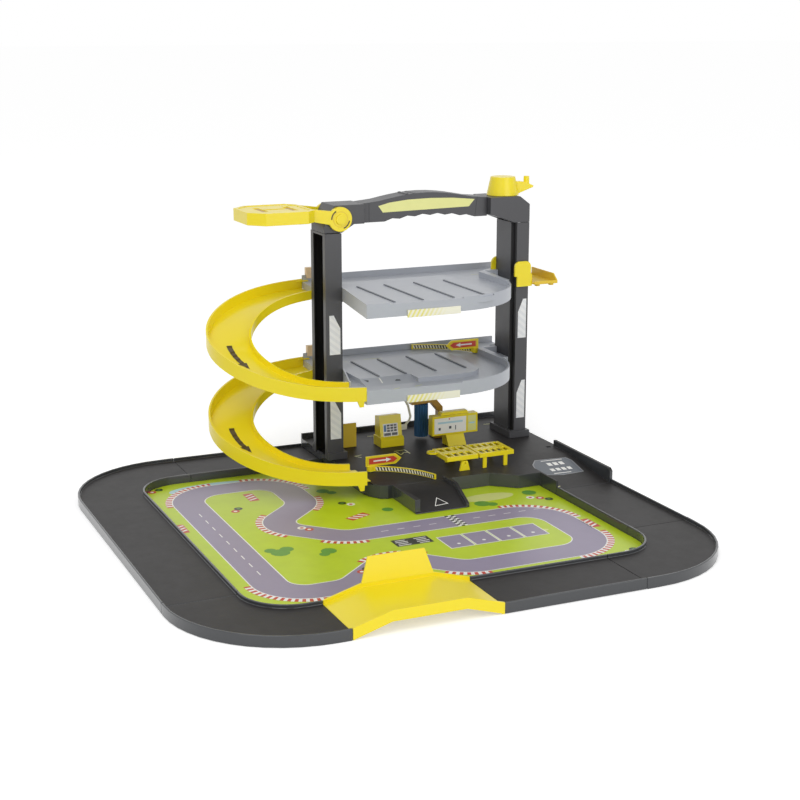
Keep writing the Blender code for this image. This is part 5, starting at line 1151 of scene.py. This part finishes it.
class GARAGE_OT_stage(bpy.types.Operator):
    """Floor, studio light and camera"""
    bl_idname = "garage.stage"
    bl_label = "Stage"

    def execute(self, context):
        scene = context.scene
        stage = scene.garage_stage
        self.floor(stage.floor)
        self.walls(scene, stage.sky)
        self.lamp("key", (-1.4, -1.3, 2.2), 1.6, stage.key)
        self.lamp("fill", (0.6, -2.4, 0.8), 1.8, stage.fill)
        self.camera(scene, stage.lens)
        scene.view_settings.view_transform = "Standard"
        return {"FINISHED"}

    def camera(self, scene, focal_length):
        """The camera at the photograph's place: 14 degrees down, 24 degrees to the right."""
        lens = bpy.data.cameras.new("camera")
        lens.lens = focal_length
        lens.sensor_width = 36
        camera = bpy.data.objects.new("camera", lens)
        camera.location = (-0.6652, -1.5404, 0.5653)
        camera.rotation_euler = Euler((math.radians(90 - 14.095), 0, math.radians(-24.064)))
        scene.collection.objects.link(camera)
        scene.camera = camera

    def seen(self, tree):
        """One for rays from the camera, a mirror or a clear piece, and nought for light."""
        rays = add_node(tree, "ShaderNodeLightPath").outputs
        mirrored = add_node(tree, "ShaderNodeMath", {0: rays["Is Glossy Ray"],
                                                     1: rays["Is Transmission Ray"]},
                            operation="MAXIMUM")
        return add_node(tree, "ShaderNodeMath", {0: rays["Is Camera Ray"],
                                                 1: mirrored.outputs[0]},
                        operation="MAXIMUM").outputs[0]

    def floor(self, whiteness):
        """A wide plain floor, a little below the object, that the camera sees as white."""
        plane = bmesh.new()
        bmesh.ops.create_grid(plane, x_segments=1, y_segments=1, size=30.0)
        mesh = bpy.data.meshes.new("floor")
        plane.to_mesh(mesh)
        plane.free()
        floor = bpy.data.objects.new("floor", mesh)
        floor.location.z = -0.4 * MM
        bpy.context.scene.collection.objects.link(floor)
        material, tree, shader, place = new_material("matt white studio floor")
        lift = add_node(tree, "ShaderNodeMath", {0: self.seen(tree), 1: whiteness},
                        operation="MULTIPLY")
        shader.inputs["Base Color"].default_value = (0.92, 0.92, 0.92, 1.0)
        shader.inputs["Roughness"].default_value = 0.9
        shader.inputs["Specular IOR Level"].default_value = 0.0
        shader.inputs["Emission Color"].default_value = (1.0, 1.0, 1.0, 1.0)
        tree.links.new(lift.outputs[0], shader.inputs["Emission Strength"])
        mesh.materials.append(material)

    def walls(self, scene, strength):
        """White walls to the camera and to reflections, softer as a light."""
        world = bpy.data.worlds.new("studio walls")
        world.use_nodes = True
        tree = world.node_tree
        level = add_node(tree, "ShaderNodeMapRange", {"Value": self.seen(tree),
                                                      "To Min": strength, "To Max": 1.0})
        back = tree.nodes["Background"]
        back.inputs["Color"].default_value = (1.0, 1.0, 1.0, 1.0)
        tree.links.new(level.outputs["Result"], back.inputs["Strength"])
        scene.world = world

    def lamp(self, name, place, size, power):
        """A square softbox that faces the middle of the object."""
        light = bpy.data.lights.new(name, "AREA")
        light.shape = "SQUARE"
        light.size = size
        light.energy = power
        lamp = bpy.data.objects.new(name, light)
        lamp.location = place
        aim = Vector((0.0, 0.0, 0.12)) - Vector(place)
        lamp.rotation_euler = aim.to_track_quat("-Z", "Y").to_euler()
        bpy.context.scene.collection.objects.link(lamp)


PIECES = (GARAGE_OT_road, GARAGE_OT_mat, GARAGE_OT_bridge, GARAGE_OT_tower, GARAGE_OT_decks,
          GARAGE_OT_ramps, GARAGE_OT_lift, GARAGE_OT_helipad, GARAGE_OT_gates,
          GARAGE_OT_service, GARAGE_OT_stage)
GROUPS = (("garage_colours", GarageColours), ("garage_sizes", GarageSizes),
          ("garage_stage", GarageStage))


class GARAGE_PT_panel(bpy.types.Panel):
    """Lists the pieces of the toy garage"""
    bl_idname = "GARAGE_PT_panel"
    bl_label = "Toy garage"
    bl_space_type = "VIEW_3D"
    bl_region_type = "UI"
    bl_category = "Toy garage"

    def draw(self, context):
        for name, group in GROUPS:
            values = getattr(context.scene, name)
            for key in group.__annotations__:
                self.layout.prop(values, key)
        for piece in PIECES:
            self.layout.operator(piece.bl_idname)


def register():
    for name, group in GROUPS:
        bpy.utils.register_class(group)
        setattr(bpy.types.Scene, name, PointerProperty(type=group))
    for piece in PIECES + (GARAGE_PT_panel,):
        bpy.utils.register_class(piece)


def unregister():
    for piece in (GARAGE_PT_panel,) + PIECES:
        bpy.utils.unregister_class(piece)
    for name, group in GROUPS:
        delattr(bpy.types.Scene, name)
        bpy.utils.unregister_class(group)


def main():
    """Builds every piece in order."""
    register()
    make_plastics(bpy.context.scene.garage_colours)
    make_prints(bpy.context.scene.garage_colours)
    for piece in PIECES:
        area, action = piece.bl_idname.split(".")
        getattr(getattr(bpy.ops, area), action)()


if __name__ == "__main__":
    main()
